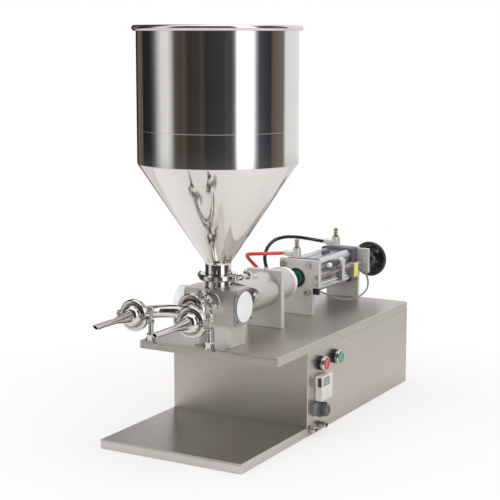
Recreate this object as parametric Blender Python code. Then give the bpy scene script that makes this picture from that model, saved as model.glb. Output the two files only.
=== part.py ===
"""Bench-top pneumatic piston filler: hopper, valve block, material cylinder, air cylinder, nozzles and tray.

All lengths are in metres. X runs across the machine, the controls stand on its +X side, and the nozzles
point along -Y. Places are worked out from the tray's front edge, and one empty moves the whole machine so
that the origin lies on the underside plate, at the middle of the footprint.
"""

import math

import bmesh
import bpy
from mathutils import Matrix, Vector

# General
GAP = 0.0003
OVERRUN = 0.004
WELD_DEPTH = 0.002
MERGE = 0.00001
SHEET = 0.002
BEND_SEGMENTS = 3
SMOOTH_ANGLE = math.radians(35)
HEX_STEPS = 6
SCREW_STEPS = 8
COARSE_STEPS = 12
FINE_STEPS = 28
HOPPER_STEPS = 48
ROUTE_STEPS = 12

# Base: tray, cabinet and deck
BASE_WIDTH = 0.320
TRAY_LENGTH = 0.2684
TRAY_HEIGHT = 0.0186
TRAY_BEND = 0.0035
DECK_HEIGHT = 0.1897
DECK_BAND = 0.0169
DECK_OVERHANG = 0.1272
REAR_MARGIN = 0.0097
SERVICE_SIDE_MARGIN = 0.035
SERVICE_HEIGHT = 0.116
SERVICE_RISE = 0.028
SERVICE_LAP = 0.010
SLOT_COUNT = 6
SLOT_WIDTH = 0.060
SLOT_HEIGHT = 0.004
SLOT_PITCH = 0.011
SLOT_OFFSET = 0.060
GLAND_RADIUS = 0.009
GLAND_LENGTH = 0.016
GLAND_OFFSET = 0.070
GLAND_BORE = 0.0035
GLAND_SHANK_RADIUS = 0.006
GLAND_NUT_THICKNESS = 0.005

# Main axis and valve block
AXIS_RISE = 0.0823
VALVE_SETBACK = 0.0458
BLOCK_WIDTH = 0.110
BLOCK_DEPTH = 0.069
BLOCK_HEIGHT = 0.0705
CORE_RADIUS = 0.025
CORE_CLEARANCE = 0.0003
INLET_BORE = 0.020
INLET_WALL = 0.0058
OUTLET_BORE = 0.014
END_PLATE = 0.004
END_PLATE_ROUND = 0.010
CORE_END_LIP = 0.006
CORE_END_LEFT = 0.028
CORE_CHAMFER = 0.0008
CORE_END_RIGHT = 0.0015
PLATE_SCREW_RADIUS = 0.0030
PLATE_SCREW_HEIGHT = 0.0025
PLATE_SCREW_INSET = 0.0085
VALVE_TURN_BORE = 0.012
LEG_THICKNESS = 0.012
BRACKET_SIDE_INSET = 0.013
BRACKET_FRONT_INSET = 0.0105
BRACKET_BACK_INSET = 0.0003
BRACKET_WEB = 0.008

# Hopper and its clamp
HOPPER_RADIUS = 0.158
HOPPER_WALL = 0.002
HOPPER_TOP_RISE = 0.6313
RIM_BEAD_RADIUS = 0.006
RIM_BEAD_OUT = 0.0025
BARREL_FOOT_RISE = 0.3653
BARREL_FILLET = 0.018
NECK_TOP_RISE = 0.1673
NECK_FILLET = 0.012
FILLET_POINTS = 3
BEAD_POINTS = 8
HOPPER_JOINT_RISE = 0.1391
HOPPER_FERRULE_LIP = 0.0062
HOPPER_CLAMP_WALL = 0.0065
FERRULE_LAND = 0.0014
FERRULE_SLOPE = 0.0016

# Outlet, manifold and nozzles
OUTLET_RISE = 0.0905
OUTLET_JOINT_REACH = 0.064
STUB_FOOT_RADIUS = 0.0245
STUB_FOOT_LENGTH = 0.030
STUB_NECK_RADIUS = 0.0195
STUB_TAPER = 0.016
STUB_BORE = 0.0165
FERRULE = 0.02525
CLAMP_WALL = 0.00525
ARCH_RADIUS = 0.064
ARCH_AXIS_REACH = 0.162
ARCH_POINTS = 12
PIPE_RADIUS = 0.0125
PIPE_BORE = 0.0108
BRANCH_RADIUS = 0.0134
BRANCH_BORE = 0.0103
BRANCH_STRAIGHT_SHARE = 1 / 3
LEG_RADIUS = 0.0145
PIPE_SIDES = 12
NOZZLE_JOINT_DROP = 0.0055
NOZZLE_DOME_RADIUS = 0.0215
NOZZLE_DOME_LENGTH = 0.014
NOZZLE_SHOULDER_RADIUS = 0.0135
NOZZLE_CONE_LENGTH = 0.034
NOZZLE_TUBE_RADIUS = 0.006
NOZZLE_BORE = 0.0046
NOZZLE_LENGTH = 0.129
NOZZLE_STEPS = 20
TIP_ANGLE = math.radians(50)
TIP_CUTTER_SHARE = 4

# Clamps
CLAMP_HALF_WIDTH = 0.0062
CLAMP_LIP_SHARE = 0.86
CLAMP_SLOT = 0.009
LUG_THICKNESS = 0.005
LUG_HALF_WIDTH = 0.0055
LUG_SINK = 0.004
BOLT_OUT = 0.007
LUG_PAST_BOLT = 0.0055
BOLT_RADIUS = 0.0032
BOLT_TOP = 0.014
EYE_RADIUS = 0.0055
EYE_LENGTH = 0.009
HINGE_REACH = 0.0075
HINGE_HALF_HEIGHT = 0.0065
HINGE_PIN_RADIUS = 0.0025
HINGE_PIN_LENGTH = 0.015
WING_HUB_RADIUS = 0.0068
WING_HUB_TIP = 0.0052
WING_HUB_HEIGHT = 0.012
WING_SPAN = 0.0165
WING_RISE = 0.021
WING_THICKNESS = 0.004
BOLT_PAST_NUT = 0.003
NOZZLE_NUT_DROP = 0.031
OUTLET_NUT_DROP = 0.012
HOPPER_NUT_REACH = 0.035
OUTLET_CLAMP_ROLL = math.radians(40)
WING_TURN = math.radians(25)
# Outline of one wing as shares of the wing's span and rise
WING_OUTLINE_SHARES = [
    (0.20, 0.02), (0.55, 0.16), (0.92, 0.62), (1.00, 0.92),
    (0.84, 1.00), (0.66, 0.86), (0.42, 0.50), (0.20, 0.42),
]

# Material cylinder, its flange and support
FLANGE_THICKNESS = 0.010
FLANGE_LIP = 0.005
EAR_PAST_HUB = 0.018
EAR_RADIUS = 0.0145
EAR_TILT = math.radians(15)
CAP_NUT_RADIUS = 0.0075
CAP_NUT_HEIGHT = 0.009
EAR_POINTS = 6
TUBE_BORE = 0.0335
TUBE_REAR_WALL = 0.002
TUBE_FRONT_WALL = 0.0045
TUBE_LENGTH = 0.2285
SUPPORT_REACH = 0.1535
SUPPORT_THICKNESS = 0.015
SUPPORT_SIDE_MARGIN = 0.006
SUPPORT_TOP_MARGIN = 0.0055
PISTON_CLEARANCE = 0.0003
PISTON_LENGTH = 0.042
PISTON_PROUD = 0.0155
RING_GROOVE_DEPTH = 0.0015
RING_GROOVE_WIDTH = 0.003
PISTON_CHAMFER = 0.002
RING_PLACE_SHARES = (0.25, 0.5)

# Air cylinder and its brackets
CYLINDER_GAP = 0.0720
BRACKET_PLATE = 0.011
REAR_PLATE = 0.010
PLATE_SIDE_MARGIN = 0.0015
ARM_WIDTH_FRONT = 0.015
ARM_WIDTH_REAR = 0.0255
ARM_DROP = 0.020
PLATE_TOP_MARGIN = 0.0015
REAR_ARM_TOP_DROP = 0.003
HEAD_SIDE = 0.079
HEAD_ROUND = 0.005
FRONT_HEAD_LENGTH = 0.027
REAR_HEAD_LENGTH = 0.031
BARREL_LENGTH = 0.1657
BARREL_CORNER = 0.0105
BARREL_CORNER_INSET = 0.0135
BARREL_FLAT_INSET = 0.006
CORNER_POINTS = 6
AIR_BORE_INSET = 0.0082
NOSE_WALL = 0.0047
NOSE_PROUD = 0.004
SEAL_WIDTH = 0.0065
SEAL_DEPTH = 0.006
SEAL_PROUD = 0.001
ROD_RADIUS = 0.010
ROD_CLEARANCE = 0.0003
AIR_PISTON_LENGTH = 0.020
AIR_PISTON_BACK_GAP = 0.016
TIE_INSET = 0.0095
TIE_NUT_RADIUS = 0.0078
TIE_NUT_HEIGHT = 0.009

# Air supply
VALVE_BODY_RADIUS = 0.0098
VALVE_BODY_HEIGHT = 0.0225
VALVE_SIDE_SHIFT = -0.010
FRONT_VALVE_SETBACK = 0.0112
REAR_VALVE_SETBACK = 0.0158
ELBOW_RISE = 0.0118
ELBOW_RADIUS = 0.0066
ELBOW_LENGTH = 0.0235
COLLAR_RADIUS = 0.0058
COLLAR_LENGTH = 0.005
ELBOW_ANGLE = math.radians(215)
NEEDLE_STEM = 0.0025
NEEDLE_NUT_RADIUS = 0.0068
NEEDLE_NUT_HEIGHT = 0.0035
NEEDLE_DISC_RADIUS = 0.0058
NEEDLE_DISC_HEIGHT = 0.002
NEEDLE_KNOB_RADIUS = 0.0048
NEEDLE_KNOB_HEIGHT = 0.006
NEEDLE_NECK = 0.004
TUBE_RADIUS = 0.004
CORD_SPACING = 0.010
CABLE_RADIUS = 0.002
CABLE_SPACING = 0.006
TUBE_SIDES = 2
FITTING_HEX_RADIUS = 0.0082
FITTING_HEX_LENGTH = 0.006
FITTING_BARREL_RADIUS = 0.0066
FITTING_SHANK_RADIUS = 0.005
FITTING_SHANK_LENGTH = 0.010
FITTING_BORE = 0.0041
FITTING_RISE = 0.0138
FITTING_FIRST = 0.0108
FITTING_PITCH = 0.0425
FITTING_LENGTHS = (0.0145, 0.0175)

# Stroke setting
SCREW_PAST_HEAD = 0.0105
SCREW_RISE = 0.005
SCREW_RADIUS = 0.004
SCREW_CLEARANCE = 0.0003
SCREW_FRONT_PAST = 0.002
COLLAR_ON_SCREW = 0.0072
SCREW_COLLAR_LENGTH = 0.016
GUIDE_PAST_HEAD = 0.0095
GUIDE_DROP = 0.013
GUIDE_RADIUS = 0.0035
WHEEL_RADIUS = 0.0415
WHEEL_RIM = 0.0062
WHEEL_WEB = 0.005
WHEEL_DISH = 0.0015
WHEEL_HUB_RADIUS = 0.0115
WHEEL_HUB_LENGTH = 0.021
WHEEL_HUB_GAP = 0.0185
WHEEL_BOSS_RADIUS = 0.005
WHEEL_BOSS_HEIGHT = 0.0035
WHEEL_BOSS_REACH = 0.0295
RIM_POINTS = 7
SLIDER_WIDTH = 0.017
SLIDER_DEPTH = 0.014
SLIDER_SETBACK = 0.103
SLIDER_TOP_RISE = 0.013
SLIDER_BOTTOM_DROP = 0.008
SENSOR_RISE = 0.0175
SENSOR_RADIUS = 0.0058
SENSOR_LENGTH = 0.074
SENSOR_PAST_SLIDER = 0.006
SENSOR_HOLDER_RADIUS = 0.0098
REED_WIDTH = 0.0125
REED_DEPTH = 0.022
REED_SETBACK = 0.159
REED_TOP_RISE = 0.007
REED_BOTTOM_DROP = 0.008
REED_ROUND = 0.0015
CLIP_WIDTH = 0.013
CLIP_HEIGHT = 0.012
CLIP_RISE = 0.0535
CLIP_TAPER_SHARE = 0.7

# Controls on the cabinet's +X side, measured from the cabinet's front wall and from the floor of the base
BUTTON_RISE = 0.142
RED_BUTTON_SETBACK = 0.0546
BUTTON_PITCH = 0.0665
BUTTON_RADIUS = 0.015
BUTTON_LENGTH = 0.0155
BUTTON_SHANK_RADIUS = 0.011
BUTTON_SHANK_LENGTH = 0.020
BUTTON_WELL_DEPTH = 0.0115
CAP_RADIUS = 0.0120
CAP_LENGTH = 0.008
CAP_PROUD = 0.0035
CAP_EDGE = 0.0008
BUTTON_TRAVEL = 0.0035
COUNTER_WIDTH = 0.048
COUNTER_HEIGHT = 0.052
COUNTER_PROUD = 0.017
COUNTER_SETBACK = 0.0556
COUNTER_RISE = 0.0930
COUNTER_BODY_INSET = 0.003
COUNTER_DEPTH = 0.045
COUNTER_EDGE = 0.0015
DIAL_SETBACK = 0.0406
DIAL_RISE = 0.0490
DIAL_FLANGE_RADIUS = 0.016
DIAL_FLANGE_LENGTH = 0.009
DIAL_SHANK_RADIUS = 0.005
DIAL_SHANK_LENGTH = 0.012
DIAL_SKIRT_RADIUS = 0.0168
DIAL_SKIRT_LENGTH = 0.004
DIAL_GRIP_RADIUS = 0.0140
DIAL_GRIP_LENGTH = 0.0125
DIAL_RIDGE_WIDTH = 0.005
DIAL_RIDGE_HEIGHT = 0.0026
DIAL_EDGE = 0.0012

# Places that follow from the sizes above
UP = Vector((0, 0, 1))
RIGHT = Vector((1, 0, 0))
LEFT = Vector((-1, 0, 0))
BACK = Vector((0, 1, 0))
FRONT = Vector((0, -1, 0))
DOWN = Vector((0, 0, -1))
HALF_WIDTH = BASE_WIDTH / 2
SERVICE_WIDTH = BASE_WIDTH - 2 * SERVICE_SIDE_MARGIN
CABINET_FRONT = TRAY_LENGTH
DECK_FRONT = CABINET_FRONT - DECK_OVERHANG
DECK_UNDERSIDE = DECK_HEIGHT - DECK_BAND
AXIS_Z = DECK_HEIGHT + AXIS_RISE
VALVE_Y = DECK_FRONT + VALVE_SETBACK
BLOCK_FRONT = VALVE_Y - BLOCK_DEPTH / 2
BLOCK_BACK = VALVE_Y + BLOCK_DEPTH / 2
BLOCK_TOP = AXIS_Z + BLOCK_HEIGHT / 2
BLOCK_BOTTOM = AXIS_Z - BLOCK_HEIGHT / 2
CORE_END_RADIUS = CORE_RADIUS + CORE_END_LIP
BRACKET_WIDTH = BLOCK_WIDTH - 2 * BRACKET_SIDE_INSET
BRACKET_FRONT = BLOCK_FRONT + BRACKET_FRONT_INSET
BRACKET_BACK = BLOCK_BACK - BRACKET_BACK_INSET
NECK_RADIUS = INLET_BORE + INLET_WALL
HOPPER_FERRULE = NECK_RADIUS + HOPPER_FERRULE_LIP
HOPPER_CLAMP_OUTER = HOPPER_FERRULE + HOPPER_CLAMP_WALL
CLAMP_OUTER = FERRULE + CLAMP_WALL
HOPPER_JOINT_Z = DECK_HEIGHT + HOPPER_JOINT_RISE
OUTLET_Z = DECK_HEIGHT + OUTLET_RISE
OUTLET_JOINT_Y = BLOCK_FRONT - OUTLET_JOINT_REACH
ARCH_Y = BLOCK_FRONT - ARCH_AXIS_REACH
NOZZLE_JOINT_Y = ARCH_Y - NOZZLE_JOINT_DROP
TUBE_REAR_RADIUS = TUBE_BORE + TUBE_REAR_WALL
TUBE_FRONT_RADIUS = TUBE_BORE + TUBE_FRONT_WALL
FLANGE_HUB = TUBE_FRONT_RADIUS + FLANGE_LIP
EAR_REACH = FLANGE_HUB + EAR_PAST_HUB
SUPPORT_WIDTH = 2 * (TUBE_REAR_RADIUS + SUPPORT_SIDE_MARGIN)
TUBE_END = BLOCK_BACK + TUBE_LENGTH
SUPPORT_Y = BLOCK_BACK + SUPPORT_REACH
PLATE_B_Y = TUBE_END + CYLINDER_GAP
FRONT_HEAD_Y = PLATE_B_Y + BRACKET_PLATE + GAP
BARREL_Y = FRONT_HEAD_Y + FRONT_HEAD_LENGTH + GAP
REAR_HEAD_Y = BARREL_Y + BARREL_LENGTH + GAP
PLATE_C_Y = REAR_HEAD_Y + REAR_HEAD_LENGTH + GAP
PLATE_C_BACK = PLATE_C_Y + REAR_PLATE
BASE_LENGTH = PLATE_C_BACK + REAR_MARGIN
HALF_HEAD = HEAD_SIDE / 2
HEAD_TOP = AXIS_Z + HALF_HEAD
BRACKET_PLATE_WIDTH = HEAD_SIDE + 2 * PLATE_SIDE_MARGIN
BARREL_CORNER_REACH = HALF_HEAD - BARREL_CORNER_INSET
BARREL_FLAT = HALF_HEAD - BARREL_FLAT_INSET
AIR_BORE = HALF_HEAD - AIR_BORE_INSET
TIE_REACH = HALF_HEAD - TIE_INSET
SEAL_RADIUS = ROD_RADIUS + SEAL_WIDTH
NOSE_RADIUS = SEAL_RADIUS + NOSE_WALL
PLATE_TOP = HEAD_TOP + PLATE_TOP_MARGIN
SCREW_OUT = HALF_HEAD + SCREW_PAST_HEAD
SCREW_Z = AXIS_Z + SCREW_RISE
GUIDE_OUT = HALF_HEAD + GUIDE_PAST_HEAD
GUIDE_Z = AXIS_Z - GUIDE_DROP
WHEEL_Y = PLATE_C_BACK + WHEEL_HUB_GAP
SLIDER_Y = PLATE_B_Y + BRACKET_PLATE + SLIDER_SETBACK
REED_Y = PLATE_B_Y + BRACKET_PLATE + REED_SETBACK

# Routes of the tubes and the cable, from the tray's front edge
RED_ROUTE = [
    (-0.0344, 0.5271, 0.3236), (-0.0440, 0.5200, 0.3238), (-0.0560, 0.5060, 0.3240),
    (-0.0700, 0.4910, 0.3245), (-0.0830, 0.4830, 0.3243), (-0.0940, 0.4800, 0.3232),
    (-0.1010, 0.4810, 0.3205), (-0.1035, 0.4855, 0.3160), (-0.1030, 0.4940, 0.3085),
    (-0.0985, 0.5060, 0.2965), (-0.0930, 0.5160, 0.2830), (-0.0880, 0.5220, 0.2640),
    (-0.0850, 0.5240, 0.2420), (-0.0840, 0.5245, 0.2200), (-0.0840, 0.5245, 0.1980),
    (-0.0840, 0.5245, 0.1650),
]
BLACK_ROUTE = [
    (-0.0344, 0.7247, 0.3236), (-0.0450, 0.7175, 0.3260), (-0.0590, 0.7040, 0.3300),
    (-0.0750, 0.6790, 0.3360), (-0.0890, 0.6450, 0.3405), (-0.0990, 0.6200, 0.3385),
    (-0.1060, 0.6090, 0.3330), (-0.1110, 0.6000, 0.3250), (-0.1135, 0.5930, 0.3160),
    (-0.1140, 0.5870, 0.3060), (-0.1130, 0.5835, 0.2940), (-0.1090, 0.5840, 0.2750),
    (-0.1040, 0.5870, 0.2550), (-0.1010, 0.5890, 0.2350), (-0.1000, 0.5900, 0.2150),
    (-0.1000, 0.5900, 0.1650),
]
CABLE_ROUTE = [
    (0.0540, 0.7149, 0.2720), (0.0550, 0.7210, 0.2715), (0.0610, 0.7290, 0.2680),
    (0.0690, 0.7370, 0.2570), (0.0735, 0.7430, 0.2390), (0.0755, 0.7380, 0.2230),
    (0.0765, 0.7180, 0.2130), (0.0765, 0.6800, 0.2080), (0.0750, 0.6400, 0.2100),
    (0.0720, 0.6000, 0.2170), (0.0670, 0.5700, 0.2270), (0.0590, 0.5500, 0.2370),
    (0.0510, 0.5400, 0.2425), (0.0480, 0.5336, 0.2432),
]


# Materials

def material(name, colour, metallic, roughness):
    """A Principled BSDF with one colour."""
    made = bpy.data.materials.new(name)
    made.use_nodes = True
    shader = made.node_tree.nodes["Principled BSDF"]
    shader.inputs["Base Color"].default_value = (*colour, 1.0)
    shader.inputs["Metallic"].default_value = metallic
    shader.inputs["Roughness"].default_value = roughness
    made.diffuse_color = (*colour, 1.0)
    return made


BRUSHED = material("brushed_steel", (0.60, 0.57, 0.54), 1.0, 0.34)
POLISHED = material("polished_steel", (0.72, 0.70, 0.68), 1.0, 0.10)
SATIN = material("satin_steel", (0.66, 0.63, 0.59), 1.0, 0.26)
ALUMINIUM = material("aluminium", (0.74, 0.75, 0.77), 1.0, 0.36)
GREY_CAST = material("grey_cast", (0.11, 0.12, 0.14), 0.2, 0.45)
WHITE_PLASTIC = material("white_plastic", (0.88, 0.88, 0.90), 0.0, 0.45)
VALVE_PLASTIC = material("valve_plastic", (0.72, 0.71, 0.66), 0.0, 0.5)
BLACK_PLASTIC = material("black_plastic", (0.015, 0.015, 0.016), 0.0, 0.38)
BLACK_RUBBER = material("black_rubber", (0.02, 0.02, 0.02), 0.0, 0.7)
BRASS = material("brass", (0.60, 0.45, 0.28), 1.0, 0.3)
RED_TUBE = material("red_tube", (0.80, 0.06, 0.02), 0.0, 0.3)
BLACK_TUBE = material("black_tube", (0.015, 0.016, 0.018), 0.0, 0.3)
GREY_CABLE = material("grey_cable", (0.28, 0.28, 0.29), 0.0, 0.5)
RED_CAP = material("red_cap", (0.70, 0.05, 0.06), 0.0, 0.35)
GREEN_CAP = material("green_cap", (0.02, 0.42, 0.24), 0.0, 0.35)
GREEN_SEAL = material("green_seal", (0.01, 0.22, 0.12), 0.0, 0.4)
BEIGE_PLASTIC = material("beige_plastic", (0.70, 0.66, 0.56), 0.0, 0.5)
YELLOW_LABEL = material("yellow_label", (0.90, 0.78, 0.12), 0.0, 0.5)
GREY_PLASTIC = material("grey_plastic", (0.23, 0.24, 0.26), 0.0, 0.5)


# Building helpers

def new_empty(name, place, parent=None):
    """An empty that carries other pieces."""
    empty = bpy.data.objects.new(name, None)
    empty.location = place
    empty.parent = parent
    bpy.context.collection.objects.link(empty)
    return empty


def facing(axis, side=None):
    """Rotation that turns local +Z to the axis and, where given, local +X to the side."""
    axis = Vector(axis).normalized()
    if side is None:
        return axis.to_track_quat("Z", "Y").to_matrix()
    side = Vector(side).normalized()
    across = axis.cross(side)
    return Matrix((side, across, axis)).transposed()


def set_piece(obj, place, turn, parent=None):
    """Puts a piece at its place with its rotation, on the machine's own frame."""
    obj.parent = parent or machine
    obj.matrix_local = Matrix.Translation(Vector(place)) @ turn.to_4x4()


def from_bmesh(name, bm, finish, place, turn=None, parent=None):
    """Turns a bmesh into a named object with smooth shading on its round faces."""
    bmesh.ops.recalc_face_normals(bm, faces=bm.faces)
    mesh = bpy.data.meshes.new(name)
    bm.to_mesh(mesh)
    bm.free()
    mesh.shade_smooth()
    mesh.set_sharp_from_angle(angle=SMOOTH_ANGLE)
    obj = bpy.data.objects.new(name, mesh)
    obj.data.materials.append(finish)
    bpy.context.collection.objects.link(obj)
    set_piece(obj, place, turn or Matrix.Identity(3), parent)
    return obj


def turned(name, profile, finish, place, axis=UP, steps=FINE_STEPS, parent=None, side=None):
    """A body of revolution about local Z. The profile is (radius, height) points; a hollow one is closed."""
    bm = bmesh.new()
    verts = [bm.verts.new((radius, 0, height)) for radius, height in profile]
    edges = [bm.edges.new(pair) for pair in zip(verts, verts[1:])]
    if profile[0][0] > 0:
        edges.append(bm.edges.new((verts[-1], verts[0])))
    bmesh.ops.spin(
        bm, geom=verts + edges, cent=(0, 0, 0), axis=(0, 0, 1), dvec=(0, 0, 0),
        angle=math.tau, steps=steps, use_merge=True,
    )
    bmesh.ops.remove_doubles(bm, verts=bm.verts, dist=MERGE)
    return from_bmesh(name, bm, finish, place, facing(axis, side), parent)


def rod(radius, length):
    """Profile of a plain round bar that starts at height zero."""
    return [(0, 0), (radius, 0), (radius, length), (0, length)]


def ring(outer, inner, low, high):
    """Profile of a plain ring between two heights."""
    return [(outer, low), (outer, high), (inner, high), (inner, low)]


def cuboid(name, low, high, finish, place=(0, 0, 0), turn=None, edge=0, parent=None):
    """A box between two corners in local axes, with its edges rounded off where asked."""
    bm = bmesh.new()
    bmesh.ops.create_cube(bm, size=1)
    low = Vector(low)
    high = Vector(high)
    for vert in bm.verts:
        vert.co = Vector((
            (low[k] + high[k]) / 2 + vert.co[k] * (high[k] - low[k]) for k in range(3)
        ))
    if edge:
        bmesh.ops.bevel(bm, geom=bm.edges, offset=edge, segments=BEND_SEGMENTS, profile=0.5, affect="EDGES")
    return from_bmesh(name, bm, finish, place, turn, parent)


def slab(name, outline, low, high, finish, place=(0, 0, 0), turn=None, parent=None):
    """A flat outline in local XY, raised between two heights along local Z."""
    bm = bmesh.new()
    verts = [bm.verts.new((x, y, low)) for x, y in outline]
    face = bm.faces.new(verts)
    grown = bmesh.ops.extrude_face_region(bm, geom=[face])
    top = [item for item in grown["geom"] if isinstance(item, bmesh.types.BMVert)]
    bmesh.ops.translate(bm, verts=top, vec=(0, 0, high - low))
    return from_bmesh(name, bm, finish, place, turn, parent)


def arc(centre, radius, start, end, points):
    """Points on a circle in a plane, both ends included."""
    angles = [start + (end - start) * k / (points - 1) for k in range(points)]
    return [(centre[0] + radius * math.cos(a), centre[1] + radius * math.sin(a)) for a in angles]


def rounded_rectangle(low, high, radius, points=BEND_SEGMENTS + 1):
    """Corner points of a rectangle with round corners, run counterclockwise."""
    outline = []
    corners = [(high[0], high[1], 0), (low[0], high[1], 1), (low[0], low[1], 2), (high[0], low[1], 3)]
    for x, y, quarter in corners:
        inward_x = math.copysign(radius, (low[0] + high[0]) / 2 - x)
        inward_y = math.copysign(radius, (low[1] + high[1]) / 2 - y)
        centre = (x + inward_x, y + inward_y)
        start = quarter * math.pi / 2
        outline += arc(centre, radius, start, start + math.pi / 2, points)
    return outline


def hide(tool):
    """Marks a cutting or joining shape as a guide."""
    tool.hide_render = True
    tool.display_type = "WIRE"


def combine(target, tool, operation):
    """Adds a Boolean between the target and a guide shape."""
    change = target.modifiers.new(operation.lower(), "BOOLEAN")
    change.operation = operation
    change.object = tool
    hide(tool)
    return target


def carve(target, *tools):
    """Cuts the guide shapes out of the target."""
    for tool in tools:
        combine(target, tool, "DIFFERENCE")
    return target


def weld(target, *tools):
    """Joins the guide shapes to the target."""
    for tool in tools:
        combine(target, tool, "UNION")
    return target


def drill(target, radius, length, place, axis, steps=COARSE_STEPS):
    """Drills a round hole that starts at the place and runs along the axis."""
    name = f"{target.name}.drill.{len(target.modifiers)}"
    side = RIGHT if abs(axis.dot(RIGHT)) < 1 / 2 else UP
    return carve(target, turned(name, rod(radius, length), BLACK_RUBBER, place, axis, steps, side=side))


def swept(name, points, radius, sides, finish, parent=None):
    """A round bar along a path whose turns lie in a horizontal plane."""
    bm = bmesh.new()
    loops = []
    path = [Vector(point) for point in points]
    for k, point in enumerate(path):
        ahead = path[min(k + 1, len(path) - 1)]
        behind = path[max(k - 1, 0)]
        across = (ahead - behind).normalized().cross(UP)
        ring_points = [
            point + radius * (math.cos(a) * across + math.sin(a) * UP)
            for a in (math.tau * (step + 1 / 2) / sides for step in range(sides))
        ]
        loops.append([bm.verts.new(co) for co in ring_points])
    for first, second in zip(loops, loops[1:]):
        for k in range(sides):
            nxt = (k + 1) % sides
            bm.faces.new((first[k], first[nxt], second[nxt], second[k]))
    bm.faces.new(loops[0])
    bm.faces.new(loops[-1])
    return from_bmesh(name, bm, finish, (0, 0, 0), None, parent)


def smooth_route(route, spacing):
    """Points at an even spacing along a smooth curve through the route."""
    path = [Vector(point) for point in route]
    padded = [2 * path[0] - path[1]] + path + [2 * path[-1] - path[-2]]
    fine = []
    for a, b, c, d in zip(padded, padded[1:], padded[2:], padded[3:]):
        linear = c - a
        square = 2 * a - 5 * b + 4 * c - d
        cube = 3 * b - a - 3 * c + d
        for k in range(ROUTE_STEPS):
            t = k / ROUTE_STEPS
            fine.append((2 * b + linear * t + square * t ** 2 + cube * t ** 3) / 2)
    fine.append(path[-1])
    even = [fine[0]]
    travelled = 0
    for before, after in zip(fine, fine[1:]):
        travelled += (after - before).length
        if travelled >= spacing:
            even.append(after)
            travelled = 0
    if (even[-1] - fine[-1]).length < spacing / 2:
        even.pop()
    even.append(fine[-1])
    return even


def cord(name, route, radius, spacing, finish):
    """A tube or cable as a curve with filled ends."""
    curve = bpy.data.curves.new(name, "CURVE")
    curve.dimensions = "3D"
    curve.bevel_depth = radius
    curve.bevel_resolution = TUBE_SIDES
    curve.use_fill_caps = True
    points = smooth_route(route, spacing)
    spline = curve.splines.new("POLY")
    spline.points.add(len(points) - 1)
    for target, point in zip(spline.points, points):
        target.co = (*point, 1)
    obj = bpy.data.objects.new(name, curve)
    obj.data.materials.append(finish)
    bpy.context.collection.objects.link(obj)
    set_piece(obj, (0, 0, 0), Matrix.Identity(3))
    return obj


def ferrule_end(neck, flange, face, side):
    """Outer profile of a clamp ferrule whose face lies at a height; side is +1 where the neck is above it."""
    return [
        (neck, face + side * (FERRULE_LAND + FERRULE_SLOPE)),
        (flange, face + side * FERRULE_LAND),
        (flange, face),
    ]


# Base

def build_tray():
    """Folded tray: a top sheet with rims turned down on three sides, open below and against the cabinet."""
    past = CABINET_FRONT + TRAY_HEIGHT
    tray = cuboid(
        "tray_pan", (-HALF_WIDTH, 0, -TRAY_HEIGHT), (HALF_WIDTH, past, TRAY_HEIGHT), BRUSHED,
        edge=TRAY_BEND,
    )
    inner = cuboid(
        "tray_pan.inside", (-HALF_WIDTH + SHEET, SHEET, -BASE_WIDTH),
        (HALF_WIDTH - SHEET, past + OVERRUN, TRAY_HEIGHT - SHEET), BRUSHED,
    )
    below = cuboid(
        "tray_pan.below", (-BASE_WIDTH, -OVERRUN, -BASE_WIDTH), (BASE_WIDTH, past + OVERRUN, 0), BRUSHED,
    )
    behind = cuboid(
        "tray_pan.behind", (-BASE_WIDTH, CABINET_FRONT - GAP, -BASE_WIDTH),
        (BASE_WIDTH, past + OVERRUN, BASE_WIDTH), BRUSHED,
    )
    return carve(tray, inner, below, behind)


def build_cabinet():
    """Folded cabinet: four walls, open above and below, with openings for the controls and the rear panel."""
    cabinet = cuboid(
        "cabinet_shell", (-HALF_WIDTH, CABINET_FRONT, 0),
        (HALF_WIDTH, BASE_LENGTH, DECK_UNDERSIDE - GAP), BRUSHED,
    )
    inner = cuboid(
        "cabinet_shell.inside", (-HALF_WIDTH + SHEET, CABINET_FRONT + SHEET, -OVERRUN),
        (HALF_WIDTH - SHEET, BASE_LENGTH - SHEET, DECK_HEIGHT), BRUSHED,
    )
    opening_half = SERVICE_WIDTH / 2 - SERVICE_LAP
    service = cuboid(
        "cabinet_shell.service", (-opening_half, BASE_LENGTH - SHEET - OVERRUN, SERVICE_RISE + SERVICE_LAP),
        (opening_half, BASE_LENGTH + OVERRUN, SERVICE_RISE + SERVICE_HEIGHT - SERVICE_LAP), BRUSHED,
    )
    half_wide = COUNTER_WIDTH / 2 - COUNTER_BODY_INSET + GAP
    half_high = COUNTER_HEIGHT / 2 - COUNTER_BODY_INSET + GAP
    counter = cuboid(
        "cabinet_shell.counter", (-SHEET - OVERRUN, -half_wide, -half_high), (OVERRUN, half_wide, half_high),
        BRUSHED, (HALF_WIDTH, CABINET_FRONT + COUNTER_SETBACK, COUNTER_RISE),
    )
    floor_notch = cuboid(
        "cabinet_shell.floor_notch", (-HALF_WIDTH + SHEET, CABINET_FRONT - OVERRUN, -OVERRUN),
        (HALF_WIDTH - SHEET, CABINET_FRONT + SHEET + OVERRUN, SHEET + GAP), BRUSHED,
    )
    carve(cabinet, inner, service, counter, floor_notch)
    holes = [(place, BUTTON_SHANK_RADIUS) for place in button_places().values()]
    holes.append((dial_place(), DIAL_SHANK_RADIUS))
    holes += [(place, FITTING_SHANK_RADIUS) for place in fitting_places()]
    for place, radius in holes:
        start = Vector(place) - RIGHT * (SHEET + OVERRUN)
        drill(cabinet, radius + GAP, SHEET + 2 * OVERRUN, start, RIGHT, FINE_STEPS)
    return cabinet


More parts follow.
